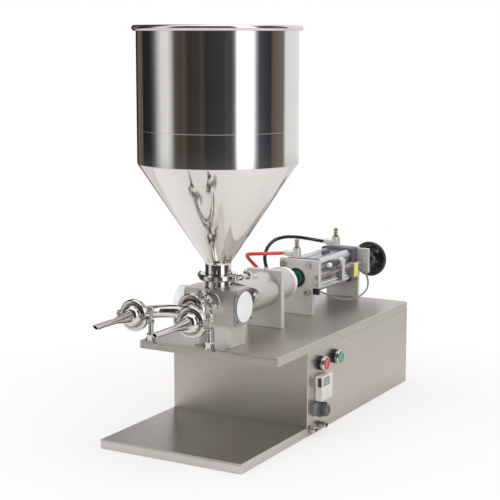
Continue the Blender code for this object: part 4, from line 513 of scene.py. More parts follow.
def bevelled(obj, width, segments=3, angle=50):
    """Bevels the edges sharper than the angle, as for a part that is joined to another afterwards."""
    bevel = obj.modifiers.new("bevel", "BEVEL")
    bevel.width = width
    bevel.segments = segments
    bevel.limit_method = "ANGLE"
    bevel.angle_limit = math.radians(angle)
    return settle(obj)


def round_off(obj, width, segments=2):
    """Bevels the sharp edges and keeps the flats flat in their shading."""
    return level(bevelled(obj, width, segments, 35))


def level(obj):
    """Smooth shading whose normals follow the large faces."""
    obj.data.shade_smooth()
    obj.data.set_sharp_from_angle(angle=SMOOTH_ANGLE)
    weighted = obj.modifiers.new("normals", "WEIGHTED_NORMAL")
    weighted.keep_sharp = True
    return obj


def merge(name, parts):
    """One piece from several parts that share a finish."""
    bm = bmesh.new()
    for part in parts:
        start = len(bm.verts)
        bm.from_mesh(part.data)
        bm.verts.ensure_lookup_table()
        bmesh.ops.transform(bm, matrix=part.matrix_world, verts=bm.verts[start:])
    finish = parts[0].data.materials[0]
    for part in parts:
        bpy.data.objects.remove(part, do_unlink=True)
    return from_bmesh(name, bm, finish)


def put(obj, body, slot, *nodes):
    """Gives a piece its body, and hides the CAD nodes that it stands for. Its slot is not used."""
    if obj.type == "MESH" and not obj.modifiers:
        level(obj)
    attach(obj, body)
    if nodes:
        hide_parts(*nodes)
    return obj


def repaint(node, finish):
    """Gives a carried-over CAD node its finish."""
    obj = bpy.data.objects[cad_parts[node].name]
    for held in obj.material_slots:
        held.material = finish


def local_point(place, turn, offset):
    """A point given in a piece's own axes, in the frame's axes."""
    return Vector(place) + turn @ Vector(offset)


def on_side(node):
    """The wall point under a fitting on the cabinet's side, and the fitting's two ends from the wall."""
    low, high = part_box(node)
    middle = (low + high) / 2
    wall = Vector((CABINET_HIGH.x, middle.y, middle.z))
    return wall, low.x - wall.x, high.x - wall.x


def smooth_route(route, spacing):
    """Points at an even spacing along a smooth curve through the route."""
    path = [Vector((x, y + SHIFT_Y, z)) for x, y, z in route]
    padded = [2 * path[0] - path[1]] + path + [2 * path[-1] - path[-2]]
    fine = []
    for a, b, c, d in zip(padded, padded[1:], padded[2:], padded[3:]):
        linear = c - a
        square = 2 * a - 5 * b + 4 * c - d
        cube = 3 * b - a - 3 * c + d
        for k in range(ROUTE_STEPS):
            t = k / ROUTE_STEPS
            fine.append((2 * b + linear * t + square * t ** 2 + cube * t ** 3) / 2)
    fine.append(path[-1])
    even = [fine[0]]
    travelled = 0
    for before, after in zip(fine, fine[1:]):
        travelled += (after - before).length
        if travelled >= spacing:
            even.append(after)
            travelled = 0
    if (even[-1] - fine[-1]).length < spacing / 2:
        even.pop()
    even.append(fine[-1])
    return even


def tube(name, route, radius, finish, slot, node):
    """A tube or cable: one open spline along the part's route."""
    curve = bpy.data.curves.new(name, "CURVE")
    curve.dimensions = "3D"
    curve.bevel_depth = radius
    curve.bevel_resolution = 6
    curve.use_fill_caps = True
    points = smooth_route(route, radius)
    spline = curve.splines.new("POLY")
    spline.points.add(len(points) - 1)
    for target, point in zip(spline.points, points):
        target.co = (*point, 1)
    spline.use_smooth = True
    obj = bpy.data.objects.new(name, curve)
    curve.materials.append(finish)
    bpy.context.collection.objects.link(obj)
    put(obj, "base", slot, node)


def ferrule_end(neck, flange, face, side):
    """Outer profile of a clamp ferrule whose face lies at a height; side is +1 where the neck is above it."""
    land = side * FERRULE_LAND
    return [(neck, face + side * (FERRULE_LAND + FERRULE_SLOPE)), (flange, face + land), (flange, face)]


def socket_screw(name, radius, height, socket, place, axis, finish, side=None):
    """Round screw head with a hexagon socket."""
    head = turned(name, rod(radius, height), finish, place, axis, SMALL_STEPS, side, edge=FINE_EDGE * 2)
    turn = facing(axis, side)
    tool = slab("cutter", regular(socket, 6), height * 0.4, height * 2, finish, place, turn)
    return level(carve(head, tool))


def hexagon(name, radius, low, high, place, axis, finish):
    """Hexagonal nut or spanner face with its corners turned down."""
    nut = slab(name, regular(radius, 6), low, high, finish, place, facing(axis))
    cut = HEX_CHAMFER * 1.6
    past = radius + HEX_CHAMFER
    flat = radius - cut
    profile = [(0, low), (flat, low), (past, low + cut), (past, high - cut), (flat, high), (0, high)]
    keep = turned("cutter", profile, finish, place, axis, SMALL_STEPS, edge=0)
    return level(combine(nut, [keep], "INTERSECT"))


def skin(bm, loops):
    """Faces between each loop of vertices and the next, and over both ends."""
    for first, second in zip(loops, loops[1:]):
        for k in range(len(first)):
            nxt = (k + 1) % len(first)
            bm.faces.new((first[k], first[nxt], second[nxt], second[k]))
    bm.faces.new(loops[0])
    bm.faces.new(loops[-1])


def threaded(name, radius, depth, pitch, length, finish, place, axis):
    """A bar with a real screw thread: its radius follows the turn and the height."""
    bm = bmesh.new()
    rows = round(length / pitch * 4)
    loops = []
    for row in range(rows + 1):
        z = length * row / rows
        loop = []
        for k in range(SMALL_STEPS):
            phase = (z / pitch - k / SMALL_STEPS) % 1
            r = radius - depth * (1 - abs(2 * phase - 1))
            angle = math.tau * k / SMALL_STEPS
            loop.append(bm.verts.new((r * math.cos(angle), r * math.sin(angle), z)))
        loops.append(loop)
    skin(bm, loops)
    return from_bmesh(name, bm, finish, place, facing(axis))


# Base

def build_base():
    """Folded tray, cabinet and deck with round bends."""
    past = CABINET_LOW.y + TRAY_HIGH.z
    tray = cuboid(
        "tray", (TRAY_LOW.x, TRAY_LOW.y, -TRAY_HIGH.z), (TRAY_HIGH.x, past, TRAY_HIGH.z), BRIGHTENED_TRAY_SHEET,
        edge=FOLD, segments=8,
    )
    inner = notch(
        (TRAY_LOW.x + SHEET, TRAY_LOW.y + SHEET, -1),
        (TRAY_HIGH.x - SHEET, past + 1, TRAY_HIGH.z - SHEET),
        edge=INNER_FOLD,
    )
    below = notch((-1, -1, -1), (1, 1, 0))
    behind = notch((-1, TRAY_HIGH.y, -1), (1, past + 1, 1))
    put(level(carve(tray, inner, below, behind)), "base", "brushed_steel", "tray_pan")

    low, high = CABINET_LOW, CABINET_HIGH
    outline = rounded_rectangle((low.x, low.y), (high.x, high.y), 0.0022, 6)
    inside = rounded_rectangle((low.x + SHEET, low.y + SHEET), (high.x - SHEET, high.y - SHEET), 0.0006, 3)
    cabinet = slab("cabinet", outline, 0, high.z, BRUSHED)
    tools = [slab("cutter", inside, -1, 1, BRUSHED)]
    panel_low, panel_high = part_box("service_panel")
    lap = 0.010
    tools.append(notch(
        (panel_low.x + lap, high.y - 2 * SHEET, panel_low.z + lap),
        (panel_high.x - lap, high.y + 1, panel_high.z - lap),
    ))
    unit_low, unit_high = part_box("counter_unit")
    inset = 0.003 - GAP
    tools.append(notch(
        (high.x - 2 * SHEET, unit_low.y + inset, unit_low.z + inset),
        (high.x + SHEET, unit_high.y - inset, unit_high.z - inset),
    ))
    tools.append(notch((low.x + SHEET, low.y - SHEET, -1), (high.x - SHEET, low.y + 2 * SHEET, SHEET + GAP)))
    holes = [("red_button_body", 0.011), ("green_button_body", 0.011), ("dial_flange", 0.005),
             ("air_fitting_front", 0.005), ("air_fitting_rear", 0.005)]
    for node, radius in holes:
        box_low, box_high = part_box(node)
        middle = (box_low + box_high) / 2
        start = (high.x - 2 * SHEET, middle.y, middle.z)
        tools.append(bore(radius + GAP, 4 * SHEET, start, RIGHT))
    put(level(carve(cabinet, *tools)), "base", "brushed_steel", "cabinet_shell")

    low, high = DECK_LOW, DECK_HIGH
    deck = cuboid("deck", (low.x, low.y, low.z - 0.02), high, BRUSHED, edge=FOLD, segments=8)
    inner = notch(
        (low.x + SHEET, low.y + SHEET, 0), (high.x - SHEET, high.y - SHEET, high.z - SHEET), edge=INNER_FOLD,
    )
    below = notch((-1, -1, -1), (1, 1, low.z))
    tools = [inner, below]
    grommets = []
    for route in (RED_ROUTE, BLACK_ROUTE):
        x, y, _ = route[-1]
        spot = Vector((x, y + SHIFT_Y, 0))
        tools.append(bore(TUBE_RADIUS + GAP, 1, spot, UP, SMALL_STEPS))
        grommets.append(turned(
            "grommet", ring(0.0078, TUBE_RADIUS + GAP, GAP / 2, 0.0022), RUBBER, spot + UP * DECK_TOP, UP,
            SMALL_STEPS, edge=0.0009,
        ))
    put(level(carve(deck, *tools)), "base", "brushed_steel", "deck_plate")
    put(merge("deck_grommets", grommets), "base", "black_rubber")
    repaint("base_plate", SATIN)


def build_rear_panel():
    """Rear panel with cooling slots, its screws and the cable gland."""
    low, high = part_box("service_panel")
    outline = rounded_rectangle((low.x, low.z), (high.x, high.z), 0.003)
    panel = slab("rear_panel", outline, -SHEET, 0, SATIN, (0, low.y, 0), UPRIGHT)
    middle = (low.z + high.z) / 2
    tools = []
    for k in range(6):
        z = middle + (k - 2.5) * 0.011
        slot = rounded_rectangle((-0.090, z - 0.002), (-0.030, z + 0.002), 0.0019, 6)
        tools.append(slab("cutter", slot, -0.01, 0.01, SATIN, (0, low.y, 0), UPRIGHT))
    gland = Vector((0.070, low.y, middle))
    tools.append(bore(0.0063, 0.02, gland - BACK * 0.01, BACK, SMALL_STEPS))
    put(round_off(carve(panel, *tools), 0.0003), "base", "satin_steel", "service_panel")
    screws = []
    for x in (low.x + 0.005, 0.0, high.x - 0.005):
        for z in (low.z + 0.005, high.z - 0.005):
            spot = (x, high.y - 0.0002, z)
            head = turned(
                "screw", [(0, 0), (0.0030, 0), (0.0030, 0.0006), (0.0018, 0.0016), (0, 0.0018)], SCREW_STEEL,
                spot, BACK, SMALL_STEPS,
            )
            cross = [
                notch((-a, -b, 0.0009), (a, b, 0.004), spot, facing(BACK, RIGHT))
                for a, b in ((0.0019, 0.0003), (0.0003, 0.0019))
            ]
            screws.append(carve(head, *cross))
    put(merge("rear_panel_screws", screws), "base", "satin_steel")
    body_low, body_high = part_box("cable_gland")
    spot = Vector((0.070, high.y + GAP, middle))
    inner = body_low.y - spot.y
    length = body_high.y - spot.y
    body = turned(
        "cable_gland_body",
        [(0.0035, length), (0.0035, inner), (0.009, inner), (0.009, inner + 0.005), (0.006, inner + 0.005),
         (0.006, 0), (0.0086, 0), (0.0086, 0.005), (0.0074, 0.0055), (0.0088, 0.0062), (0.0088, 0.0125),
         (0.0062, length)],
        BLACK, spot, BACK, SMALL_STEPS, edge=0.0004,
    )
    ribs = [
        cuboid(
            "rib", (0.0082, -0.0005, 0.0066), (0.0089, 0.0005, 0.0122), BLACK, spot,
            facing(BACK, (math.cos(a), 0, math.sin(a))), 0.0002,
        )
        for a in (math.tau * k / 16 for k in range(16))
    ]
    put(merge("cable_gland_dome", [body] + ribs), "base", "black_plastic", "cable_gland")


# Valve

def build_valve():
    """Bracket, block, inlet ferrule, end plates with their screws, and the core with its white ends."""
    low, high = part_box("valve_bracket")
    bracket = cuboid("valve_channel", low, high, SATIN, edge=0)
    between = notch((low.x + 0.012, low.y - 1, 0), (high.x - 0.012, high.y + 1, high.z - 0.008))
    put(round_off(carve(bracket, between), 0.0007), "base", "satin_steel", "valve_bracket")

    block = cuboid("valve_body", BLOCK_LOW, BLOCK_HIGH, GROUND, edge=0)
    half = (BLOCK_HIGH - BLOCK_LOW) / 2
    core_bore = 0.0253
    carve(
        block,
        bore(core_bore, 0.2, VALVE + LEFT * 0.1, RIGHT),
        bore(0.020, 0.1, VALVE, UP),
        bore(0.014, 0.1, (VALVE.x, VALVE.y, OUTLET_JOINT.z), FRONT),
        bore(0.020, 0.1, VALVE, BACK),
    )
    put(round_off(block, 0.0009, 3), "base", "brushed_steel", "valve_block")
    face = HOPPER_JOINT.z - GAP / 2 - BLOCK_HIGH.z
    turned_neck = turned(
        "inlet_neck",
        [(0.020, GAP), (NECK_RADIUS + 0.0012, GAP), (NECK_RADIUS, 0.0018)]
        + ferrule_end(NECK_RADIUS, HOPPER_FERRULE, face, -1)
        + [(0.020, face)],
        POLISHED, (VALVE.x, VALVE.y, BLOCK_HIGH.z),
    )
    put(turned_neck, "base", "polished_steel", "inlet_ferrule")

    outline = rounded_rectangle((-half.y + GAP, -half.z + GAP), (half.y - GAP, half.z - GAP), 0.010, 12)
    reach = Vector((0, half.y - 0.0088, half.z - 0.0088))
    for hand, axis in (("left", LEFT), ("right", RIGHT)):
        start = VALVE + axis * half.x
        plate = slab(f"valve_end_{hand}", outline, GAP, 0.004, END_PLATE, start, facing(axis, BACK))
        carve(plate, bore(core_bore, 0.02, start - axis * 0.01, axis))
        put(round_off(plate, 0.0006, 3), "base", "satin_steel", f"end_plate_{hand}")
        screws = []
        for sy, sz in CORNERS:
            spot = start + axis * 0.0041 + BACK * sy * reach.y + UP * sz * reach.z
            screws.append(socket_screw("screw", 0.0030, 0.0024, 0.0017, spot, axis, SCREW_STEEL))
        put(merge(f"valve_end_screws_{hand}", screws), "base", "satin_steel")

    inside = half.x + 0.0043
    drum = -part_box("valve_core")[0].x
    core = turned(
        "valve_core_drum",
        [(0, -inside), (0.025, -inside), (0.025, inside), (0.031, inside), (0.031, drum), (0.0285, drum),
         (0.0275, drum - 0.0012), (0.008, drum - 0.0012), (0.007, drum), (0, drum)],
        WHITE, VALVE, LEFT, edge=0.0009,
    )
    carve(core, *(bore(0.012, 0.04, VALVE, way, SMALL_STEPS) for way in (UP, BACK, DOWN)))
    put(level(core), "valve_rotor", "valve_plastic", "valve_core")
    disc_low, disc_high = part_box("core_disc")
    disc = turned(
        "valve_core_disc", rod(0.031, disc_high.x - disc_low.x), WHITE, (disc_low.x, VALVE.y, VALVE.z), RIGHT,
        edge=0.0005,
    )
    put(disc, "valve_rotor", "white_plastic", "core_disc")


# Hopper

def build_hopper():
    """Spun shell from one profile: ferrule, neck, cone, barrel with a joint line, and a rolled rim."""
    face = HOPPER_JOINT.z + GAP / 2
    neck_top = DECK_TOP + 0.1673
    foot = DECK_TOP + 0.3653
    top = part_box("hopper")[1].z
    slope = math.atan2(foot - neck_top, HOPPER_RADIUS - NECK_RADIUS)
    turn = math.pi / 2 - slope
    neck_fillet = 0.012
    foot_fillet = 0.006
    neck_centre = (NECK_RADIUS + neck_fillet, neck_top - neck_fillet * math.tan(turn / 2))
    foot_centre = (HOPPER_RADIUS - foot_fillet, foot + foot_fillet * math.tan(turn / 2))
    bead_radius = 0.0056
    bead_out = 0.0025
    bead_centre = (HOPPER_RADIUS + bead_out, top - bead_radius)
    joint = DECK_TOP + 0.4305
    groove = 0.00035
    outer = list(reversed(ferrule_end(NECK_RADIUS, HOPPER_FERRULE, face, 1)))
    outer += arc(neck_centre, neck_fillet, math.pi, math.pi - turn, 10)
    outer += arc(foot_centre, foot_fillet, -turn, 0, 10)
    outer += [
        (HOPPER_RADIUS, joint - 0.0009), (HOPPER_RADIUS - groove, joint - 0.0003),
        (HOPPER_RADIUS - groove, joint + 0.0003), (HOPPER_RADIUS, joint + 0.0009),
    ]
    low = -math.acos(-bead_out / bead_radius)
    high = math.tau - math.acos(-(bead_out + HOPPER_WALL) / bead_radius)
    bead = arc(bead_centre, bead_radius, low, high, 32)
    inner = arc(foot_centre, foot_fillet - HOPPER_WALL, 0, -turn, 8)
    inner += arc(neck_centre, neck_fillet + HOPPER_WALL, math.pi - turn, math.pi, 8)
    inner.append((NECK_RADIUS - HOPPER_WALL, face))
    shell = turned(
        "hopper_shell", outer + bead + inner, MIRROR, (VALVE.x, VALVE.y, 0), UP, 192, edge=0,
    )
    put(shell, "base", "polished_steel", "hopper")


# Clamps

def build_clamp(label, centre, axis, opening, outer, ferrule, nut_reach):
    """Two-jaw clamp drawn shut, with hinge, lugs, eyebolt with a cut thread, and its wing nut."""
    lip = ferrule * 0.86
    half = 0.0062
    turn = facing(axis, opening)
    bolt_out = outer + 0.007
    body = turned(
        f"{label}_clamp_jaws",
        [(outer - 0.0022, -half), (outer, -half + 0.0026), (outer, half - 0.0026), (outer - 0.0022, half),
         (outer - 0.0050, half + 0.0008), (lip + 0.0016, half + 0.0008), (lip, half - 0.0006), (lip, 0.0036),
         (ferrule + GAP, 0.0020), (ferrule + GAP, -0.0020), (lip, -0.0036), (lip, -half)],
        CAST, centre, axis, side=opening,
    )
    slots = [
        notch((lip - 0.004, -0.0045, -0.02), (outer + 0.004, 0.0045, 0.02), centre, turn),
        notch((-outer - 0.004, -0.0006, -0.02), (-outer + 0.0035, 0.0006, 0.02), centre, turn),
    ]
    carve(body, *slots)
    for hand in (1, -1):
        near, far = sorted((hand * 0.0045, hand * 0.0095))
        lug = cuboid(
            "lug", (outer - 0.004, near, -0.0055), (bolt_out + 0.0052, far, 0.0055), CAST, centre, turn, 0.0012,
        )
        weld(body, lug)
        knuckle = cuboid(
            "knuckle", (-outer - 0.0070, hand * 0.0006 if hand > 0 else -0.0062, -0.0050),
            (-outer + 0.004, 0.0062 if hand > 0 else -0.0006, 0.0050), CAST, centre, turn, 0.0012,
        )
        weld(body, knuckle)
    slot = notch((bolt_out - 0.0036, -0.02, -0.0036), (bolt_out + 0.02, -0.001, 0.0036), centre, turn)
    carve(body, slot)
    put(round_off(body, 0.0005), "base", "satin_steel", f"{label}_clamp")
    pin = turned(
        "pin", [(0, 0), (0.0021, 0), (0.0021, 0.0145), (0, 0.0145)], POLISHED,
        local_point(centre, turn, (-outer - 0.0040, 0, -0.00725)), axis, SMALL_STEPS, edge=0.0006,
    )
    eye = turned(
        "eye", ring(0.0054, 0.0022, 0, 0.0084), POLISHED, local_point(centre, turn, (bolt_out, 0.014, -0.0042)),
        axis, SMALL_STEPS, edge=0.0009,
    )
    eye_pin = turned(
        "eye_pin", rod(0.0021, 0.0110), POLISHED, local_point(centre, turn, (bolt_out, 0.014, -0.0055)),
        axis, SMALL_STEPS, edge=0.0005,
    )
    length = nut_reach + 0.012 + 0.003
    down = turn @ Vector((0, -1, 0))
    shank = turned(
        "shank", rod(0.0028, 0.0100), POLISHED, local_point(centre, turn, (bolt_out, 0.0100, 0)), down,
        SMALL_STEPS,
    )
    start = local_point(centre, turn, (bolt_out, 0, 0))
    shaft = threaded("thread", 0.0031, 0.0005, 0.0012, length - GAP, POLISHED, start, down)
    put(merge(f"{label}_clamp_bolt", [pin, eye, eye_pin, shank, shaft]), "base", "polished_steel")
    place = local_point(centre, turn, (bolt_out, -nut_reach, 0))
    side = turn @ Vector((math.cos(math.radians(25)), 0, math.sin(math.radians(25))))
    build_wing_nut(label, place, down, side)
    gap = nut_reach - 0.0100
    if gap > 0.010:
        sleeve = turned(
            f"{label}_wing_sleeve",
            [(0.0036, -gap), (0.0062, -gap), (0.0062, -gap + 0.0030), (0.0048, -gap + 0.0042),
             (0.0048, -0.0040), (0.0062, -0.0012), (0.0062, 0.0), (0.0036, 0.0)],
            CAST, place, down, SMALL_STEPS, edge=0.0006,
        )
        put(sleeve, f"{label}_nut", "satin_steel")


def build_wing_nut(label, place, axis, side):
    """Wing nut with a turned hub and two swept wings with round edges."""
    span = 0.0165
    rise = 0.021
    hole = 0.0035
    nut = turned(
        f"{label}_wing", [(0.0084, 0), (0.0084, 0.0022), (0.0066, 0.0124), (hole, 0.0124), (hole, 0)], CAST,
        place, axis, SMALL_STEPS, side, edge=0.0007,
    )
    upright = facing(axis, side) @ UPRIGHT
    shares = [
        (0.15, 0.02), (0.38, 0.05), (0.60, 0.17), (0.79, 0.38), (0.93, 0.62), (1.00, 0.80), (0.99, 0.93),
        (0.91, 1.00), (0.80, 0.98), (0.69, 0.88), (0.56, 0.69), (0.44, 0.53), (0.30, 0.47), (0.15, 0.46),
    ]
    for hand in (1, -1):
        outline = [(hand * x * span, z * rise) for x, z in shares]
        wing = slab("wing", outline, -0.0027, 0.0027, CAST, place, upright)
        weld(nut, bevelled(wing, 0.0012))
    drill_start = Vector(place) - Vector(axis) * 0.004
    carve(nut, bore(hole, 0.03, drill_start, axis, SMALL_STEPS))
    put(level(nut), f"{label}_nut", "satin_steel", f"{label}_wing_nut")


def build_clamps():
    """The hopper clamp, the outlet clamp and the two nozzle clamps."""
    roll = Vector((math.cos(math.radians(40)), 0, math.sin(math.radians(40))))
    nozzle = Vector((ARCH_RADIUS, NOZZLE_JOINT_Y, OUTLET_JOINT.z))
    mirrored = Vector((-ARCH_RADIUS, NOZZLE_JOINT_Y, OUTLET_JOINT.z))
    build_clamp("hopper", HOPPER_JOINT, DOWN, RIGHT, HOPPER_CLAMP_OUTER, HOPPER_FERRULE, 0.035)
    build_clamp("outlet", OUTLET_JOINT, FRONT, roll, CLAMP_OUTER, FERRULE, 0.012)
    build_clamp("left_nozzle", mirrored, FRONT, RIGHT, CLAMP_OUTER, FERRULE, 0.031)
    build_clamp("right_nozzle", nozzle, FRONT, RIGHT, CLAMP_OUTER, FERRULE, 0.031)


# Outlet

def build_outlet():
    """Stub, forked manifold and the two nozzles."""
    face = 0.064 - GAP / 2
    stub = turned(
        "outlet_neck",
        [(0.0255, GAP), (0.0245, 0.0016), (0.0245, 0.030), (0.0195, 0.046)]
        + ferrule_end(0.0195, FERRULE, face, -1) + [(0.0165, face), (0.0165, GAP)],
        POLISHED, (0, BLOCK_LOW.y, OUTLET_JOINT.z), FRONT, edge=0.0012,
    )
    put(stub, "base", "polished_steel", "outlet_stub")

    arch_y = NOZZLE_JOINT_Y + 0.0055
    points = 64
    arch = [
        (ARCH_RADIUS * math.cos(a), arch_y + ARCH_RADIUS * math.sin(a), OUTLET_JOINT.z)
        for a in (math.pi * k / points for k in range(points + 1))
    ]
    leg_end = NOZZLE_JOINT_Y + GAP / 2 + 0.0014
    path = [(ARCH_RADIUS, leg_end, OUTLET_JOINT.z)] + arch + [(-ARCH_RADIUS, leg_end, OUTLET_JOINT.z)]
    pipe = swept("manifold", path, 0.0125, MEDIUM_STEPS, POLISHED)
    apex = arch_y + ARCH_RADIUS - SHEET
    face = OUTLET_JOINT.y - GAP / 2 - apex
    profile = [(0, 0), (0.0134, 0), (0.0134, face / 3)] + ferrule_end(0.0195, FERRULE, face, -1) + [(0, face)]
    parts = [turned("branch", profile, POLISHED, (0, apex, OUTLET_JOINT.z), BACK, edge=0.0012)]
    start = arch_y + SHEET
    face = start - NOZZLE_JOINT_Y - GAP / 2
    for side in (-1, 1):
        parts.append(turned(
            "leg", [(0, 0), (0.0145, 0)] + ferrule_end(0.0145, FERRULE, face, -1) + [(0, face)], POLISHED,
            (side * ARCH_RADIUS, start, OUTLET_JOINT.z), FRONT, edge=0.0012,
        ))
    weld(pipe, *parts)
    past = NOZZLE_JOINT_Y - 0.004
    longer = [(ARCH_RADIUS, past, OUTLET_JOINT.z)] + arch + [(-ARCH_RADIUS, past, OUTLET_JOINT.z)]
    passage = swept("cutter", longer, 0.0108, SMALL_STEPS, POLISHED)
    branch_bore = bore(0.0103, 0.1, (0, apex, OUTLET_JOINT.z), BACK, SMALL_STEPS)
    put(level(carve(pipe, passage, branch_bore)), "base", "polished_steel", "outlet_manifold")

    dome_end = 0.003 + 0.0165
    cone_end = dome_end + 0.042
    length = 0.129
    dome = [
        (0.0105 + 0.0108 * math.cos(a), 0.003 + 0.0165 * math.sin(a))
        for a in (math.pi / 24 * k for k in range(12))
    ]
    flange = list(reversed(ferrule_end(0.0212, FERRULE - GAP, GAP / 2, 1)))[:-1]
    profile = flange + dome + [
        (0.0054, cone_end), (0.0054, length), (0.0042, length), (0.0042, cone_end), (0.0108, 0.0014),
        (0.0108, GAP / 2),
    ]
    for hand, side in (("left", -1), ("right", 1)):
        place = Vector((side * ARCH_RADIUS, NOZZLE_JOINT_Y, OUTLET_JOINT.z))
        nozzle = turned(f"nozzle_{hand}_spout", profile, POLISHED, place, FRONT, edge=0.0006)
        tip = place + FRONT * length + UP * 0.006
        tilt = Matrix.Rotation(-math.radians(50), 3, "X")
        wedge = notch((-0.03, -0.03, -0.03), (0.03, 0.03, 0), tip, tilt)
        put(level(carve(nozzle, wedge)), "base", "polished_steel", f"nozzle_{hand}")


def swept(name, points, radius, sides, finish):
    """A round bar along a path whose turns lie in a horizontal plane."""
    bm = bmesh.new()
    loops = []
    path = [Vector(point) for point in points]
    for k, point in enumerate(path):
        ahead = path[min(k + 1, len(path) - 1)]
        behind = path[max(k - 1, 0)]
        across = (ahead - behind).normalized().cross(UP)
        loops.append([
            bm.verts.new(point + radius * (math.cos(a) * across + math.sin(a) * UP))
            for a in (math.tau * (step + 0.5) / sides for step in range(sides))
        ])
    skin(bm, loops)
    return from_bmesh(name, bm, finish)


# Material cylinder

def build_material_cylinder():
    """Stepped tube with its eared flange and screws, its support, and the piston with its rings and rod."""
    start = Vector((0, BLOCK_HIGH.y + GAP, AXIS_Z))
    bore_radius = 0.0335
    shoulder = 0.1535 - 2 * GAP
    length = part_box("material_cylinder")[1].y - start.y
    tube_body = turned(
        "cylinder_tube",
        [(bore_radius, 0.002), (0.038, 0.002), (0.038, shoulder), (0.0355, shoulder), (0.0355, length),
         (bore_radius, length)],
        TURNED, start, BACK, FINE_STEPS, RIGHT, edge=0.0009,
    )
    hub = 0.043
    reach = 0.0682
    ear = 0.0105
    hull = math.acos((hub - ear) / reach)
    ears = []
    for middle in (0, math.pi):
        centre = (reach * math.cos(middle), reach * math.sin(middle))
        ears += arc(centre, ear, middle - hull, middle + hull, 18)
        ears += arc((0, 0), hub, middle + hull, middle + math.pi - hull, 14)
    tilt = math.radians(18)
    tilted = Vector((math.cos(tilt), 0, math.sin(tilt)))
    flange = slab("flange", ears, 0, 0.010, TURNED, start, facing(BACK, tilted))
    bevelled(flange, 0.0012)
    weld(tube_body, flange)
    carve(tube_body, bore(bore_radius, 0.3, start + FRONT * 0.02, BACK, FINE_STEPS))
    put(level(tube_body), "base", "satin_steel", "material_cylinder")
    screws = []
    for side in (-1, 1):
        spot = start + tilted * side * reach
        screws.append(turned("washer", ring(0.0055, 0.0030, 0, 0.0012), POLISHED, spot, FRONT, SMALL_STEPS))
        screws.append(turned(
            "head", [(0, 0.001), (0.0043, 0.001), (0.0043, 0.0040), (0.0032, 0.0052), (0, 0.0056)], POLISHED,
            spot, FRONT, SMALL_STEPS, edge=0.0005,
        ))
    put(merge("flange_screws", screws), "base", "satin_steel")

    for node, name in (("cylinder_support", "support_foot"), ("support_cap", "support_top")):
        low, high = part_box(node)
        plate = cuboid(name, low, high, SATIN, edge=0)
        carve(plate, bore(0.0358, 0.1, (0, low.y - 0.01, AXIS_Z), BACK, FINE_STEPS))
        put(round_off(plate, 0.0007), "base", "satin_steel", node)
    low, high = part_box("support_cap")
    middle = (low.y + high.y) / 2
    screw = socket_screw("support_screw", 0.0038, 0.0034, 0.0020, (0, middle, high.z - 0.0002), UP, POLISHED)
    put(screw, "base", "satin_steel")

    low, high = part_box("piston")
    radius = bore_radius - GAP
    length = high.y - low.y
    profile = [(0, 0), (radius - 0.002, 0), (radius, 0.002)]
    rings = []
    for share in (0.25, 0.5):
        at = length * share
        profile += [(radius, at), (radius - 0.0015, at), (radius - 0.0015, at + 0.003), (radius, at + 0.003)]
        rings.append(turned(
            "ring", ring(radius - 0.0002, radius - 0.0014, at + 0.0002, at + 0.0028), RUBBER,
            (0, low.y, AXIS_Z), BACK, FINE_STEPS, edge=0.0008,
        ))
    profile += [(radius, length), (0, length)]
    head = turned("piston_head", profile, WHITE, (0, low.y, AXIS_Z), BACK, FINE_STEPS, edge=0.0006)
    put(head, "piston_group", "white_plastic", "piston")
    put(merge("piston_rings", rings), "piston_group", "black_rubber")
    rod_low, rod_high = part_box("piston_rod")
    length = rod_high.y - rod_low.y
    disc = (rod_high.x - rod_low.x) / 2
    shaft = turned(
        "piston_shaft",
        [(0, 0), (0.010, 0), (0.010, length - 0.020), (disc, length - 0.020), (disc, length), (0, length)],
        POLISHED, (0, rod_low.y, AXIS_Z), BACK, edge=0.0008,
    )
    put(shaft, "piston_group", "polished_steel", "piston_rod")


# Air cylinder

def stroke_bores(y, steps):
    """Cutters for the adjusting screw and the guide rod, that start at one place along the machine."""
    return [
        bore(0.0043, 0.05, (SCREW_X, y, SCREW_PLACE.z), BACK, steps),
        bore(0.0038, 0.05, (GUIDE_X, y, GUIDE_PLACE.z), BACK, steps),
    ]


def build_brackets():
    """Two upright plates whose arms hold the adjusting screw and the guide rod."""
    arms = [
        ("front_bracket", "bracket_front_plate", FRONT_PLATE, 0.015, 0.0),
        ("rear_bracket", "bracket_rear_plate", REAR_PLATE, 0.0255, 0.003),
    ]
    for node, name, thickness, arm, arm_drop in arms:
        low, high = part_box(node)
        front = high.y - thickness
        under = AXIS_Z - 0.020
        outline = [
            (-BRACKET_HALF, low.z), (BRACKET_HALF, low.z), (BRACKET_HALF, under), (BRACKET_HALF + arm, under),
            (BRACKET_HALF + arm, high.z - arm_drop), (BRACKET_HALF, high.z - arm_drop),
            (BRACKET_HALF, high.z), (-BRACKET_HALF, high.z),
        ]
        outline = [point for k, point in enumerate(outline) if point != outline[k - 1]]
        plate = slab(name, outline, -thickness, 0, SATIN, (0, front, 0), UPRIGHT)
        carve(plate, *stroke_bores(front - 0.01, SMALL_STEPS))
        if node == "front_bracket":
            carve(plate, bore(0.0215, 0.05, (0, front - 0.01, AXIS_Z), BACK, FINE_STEPS))
        put(round_off(plate, 0.0007, 3), "base", "satin_steel", node)


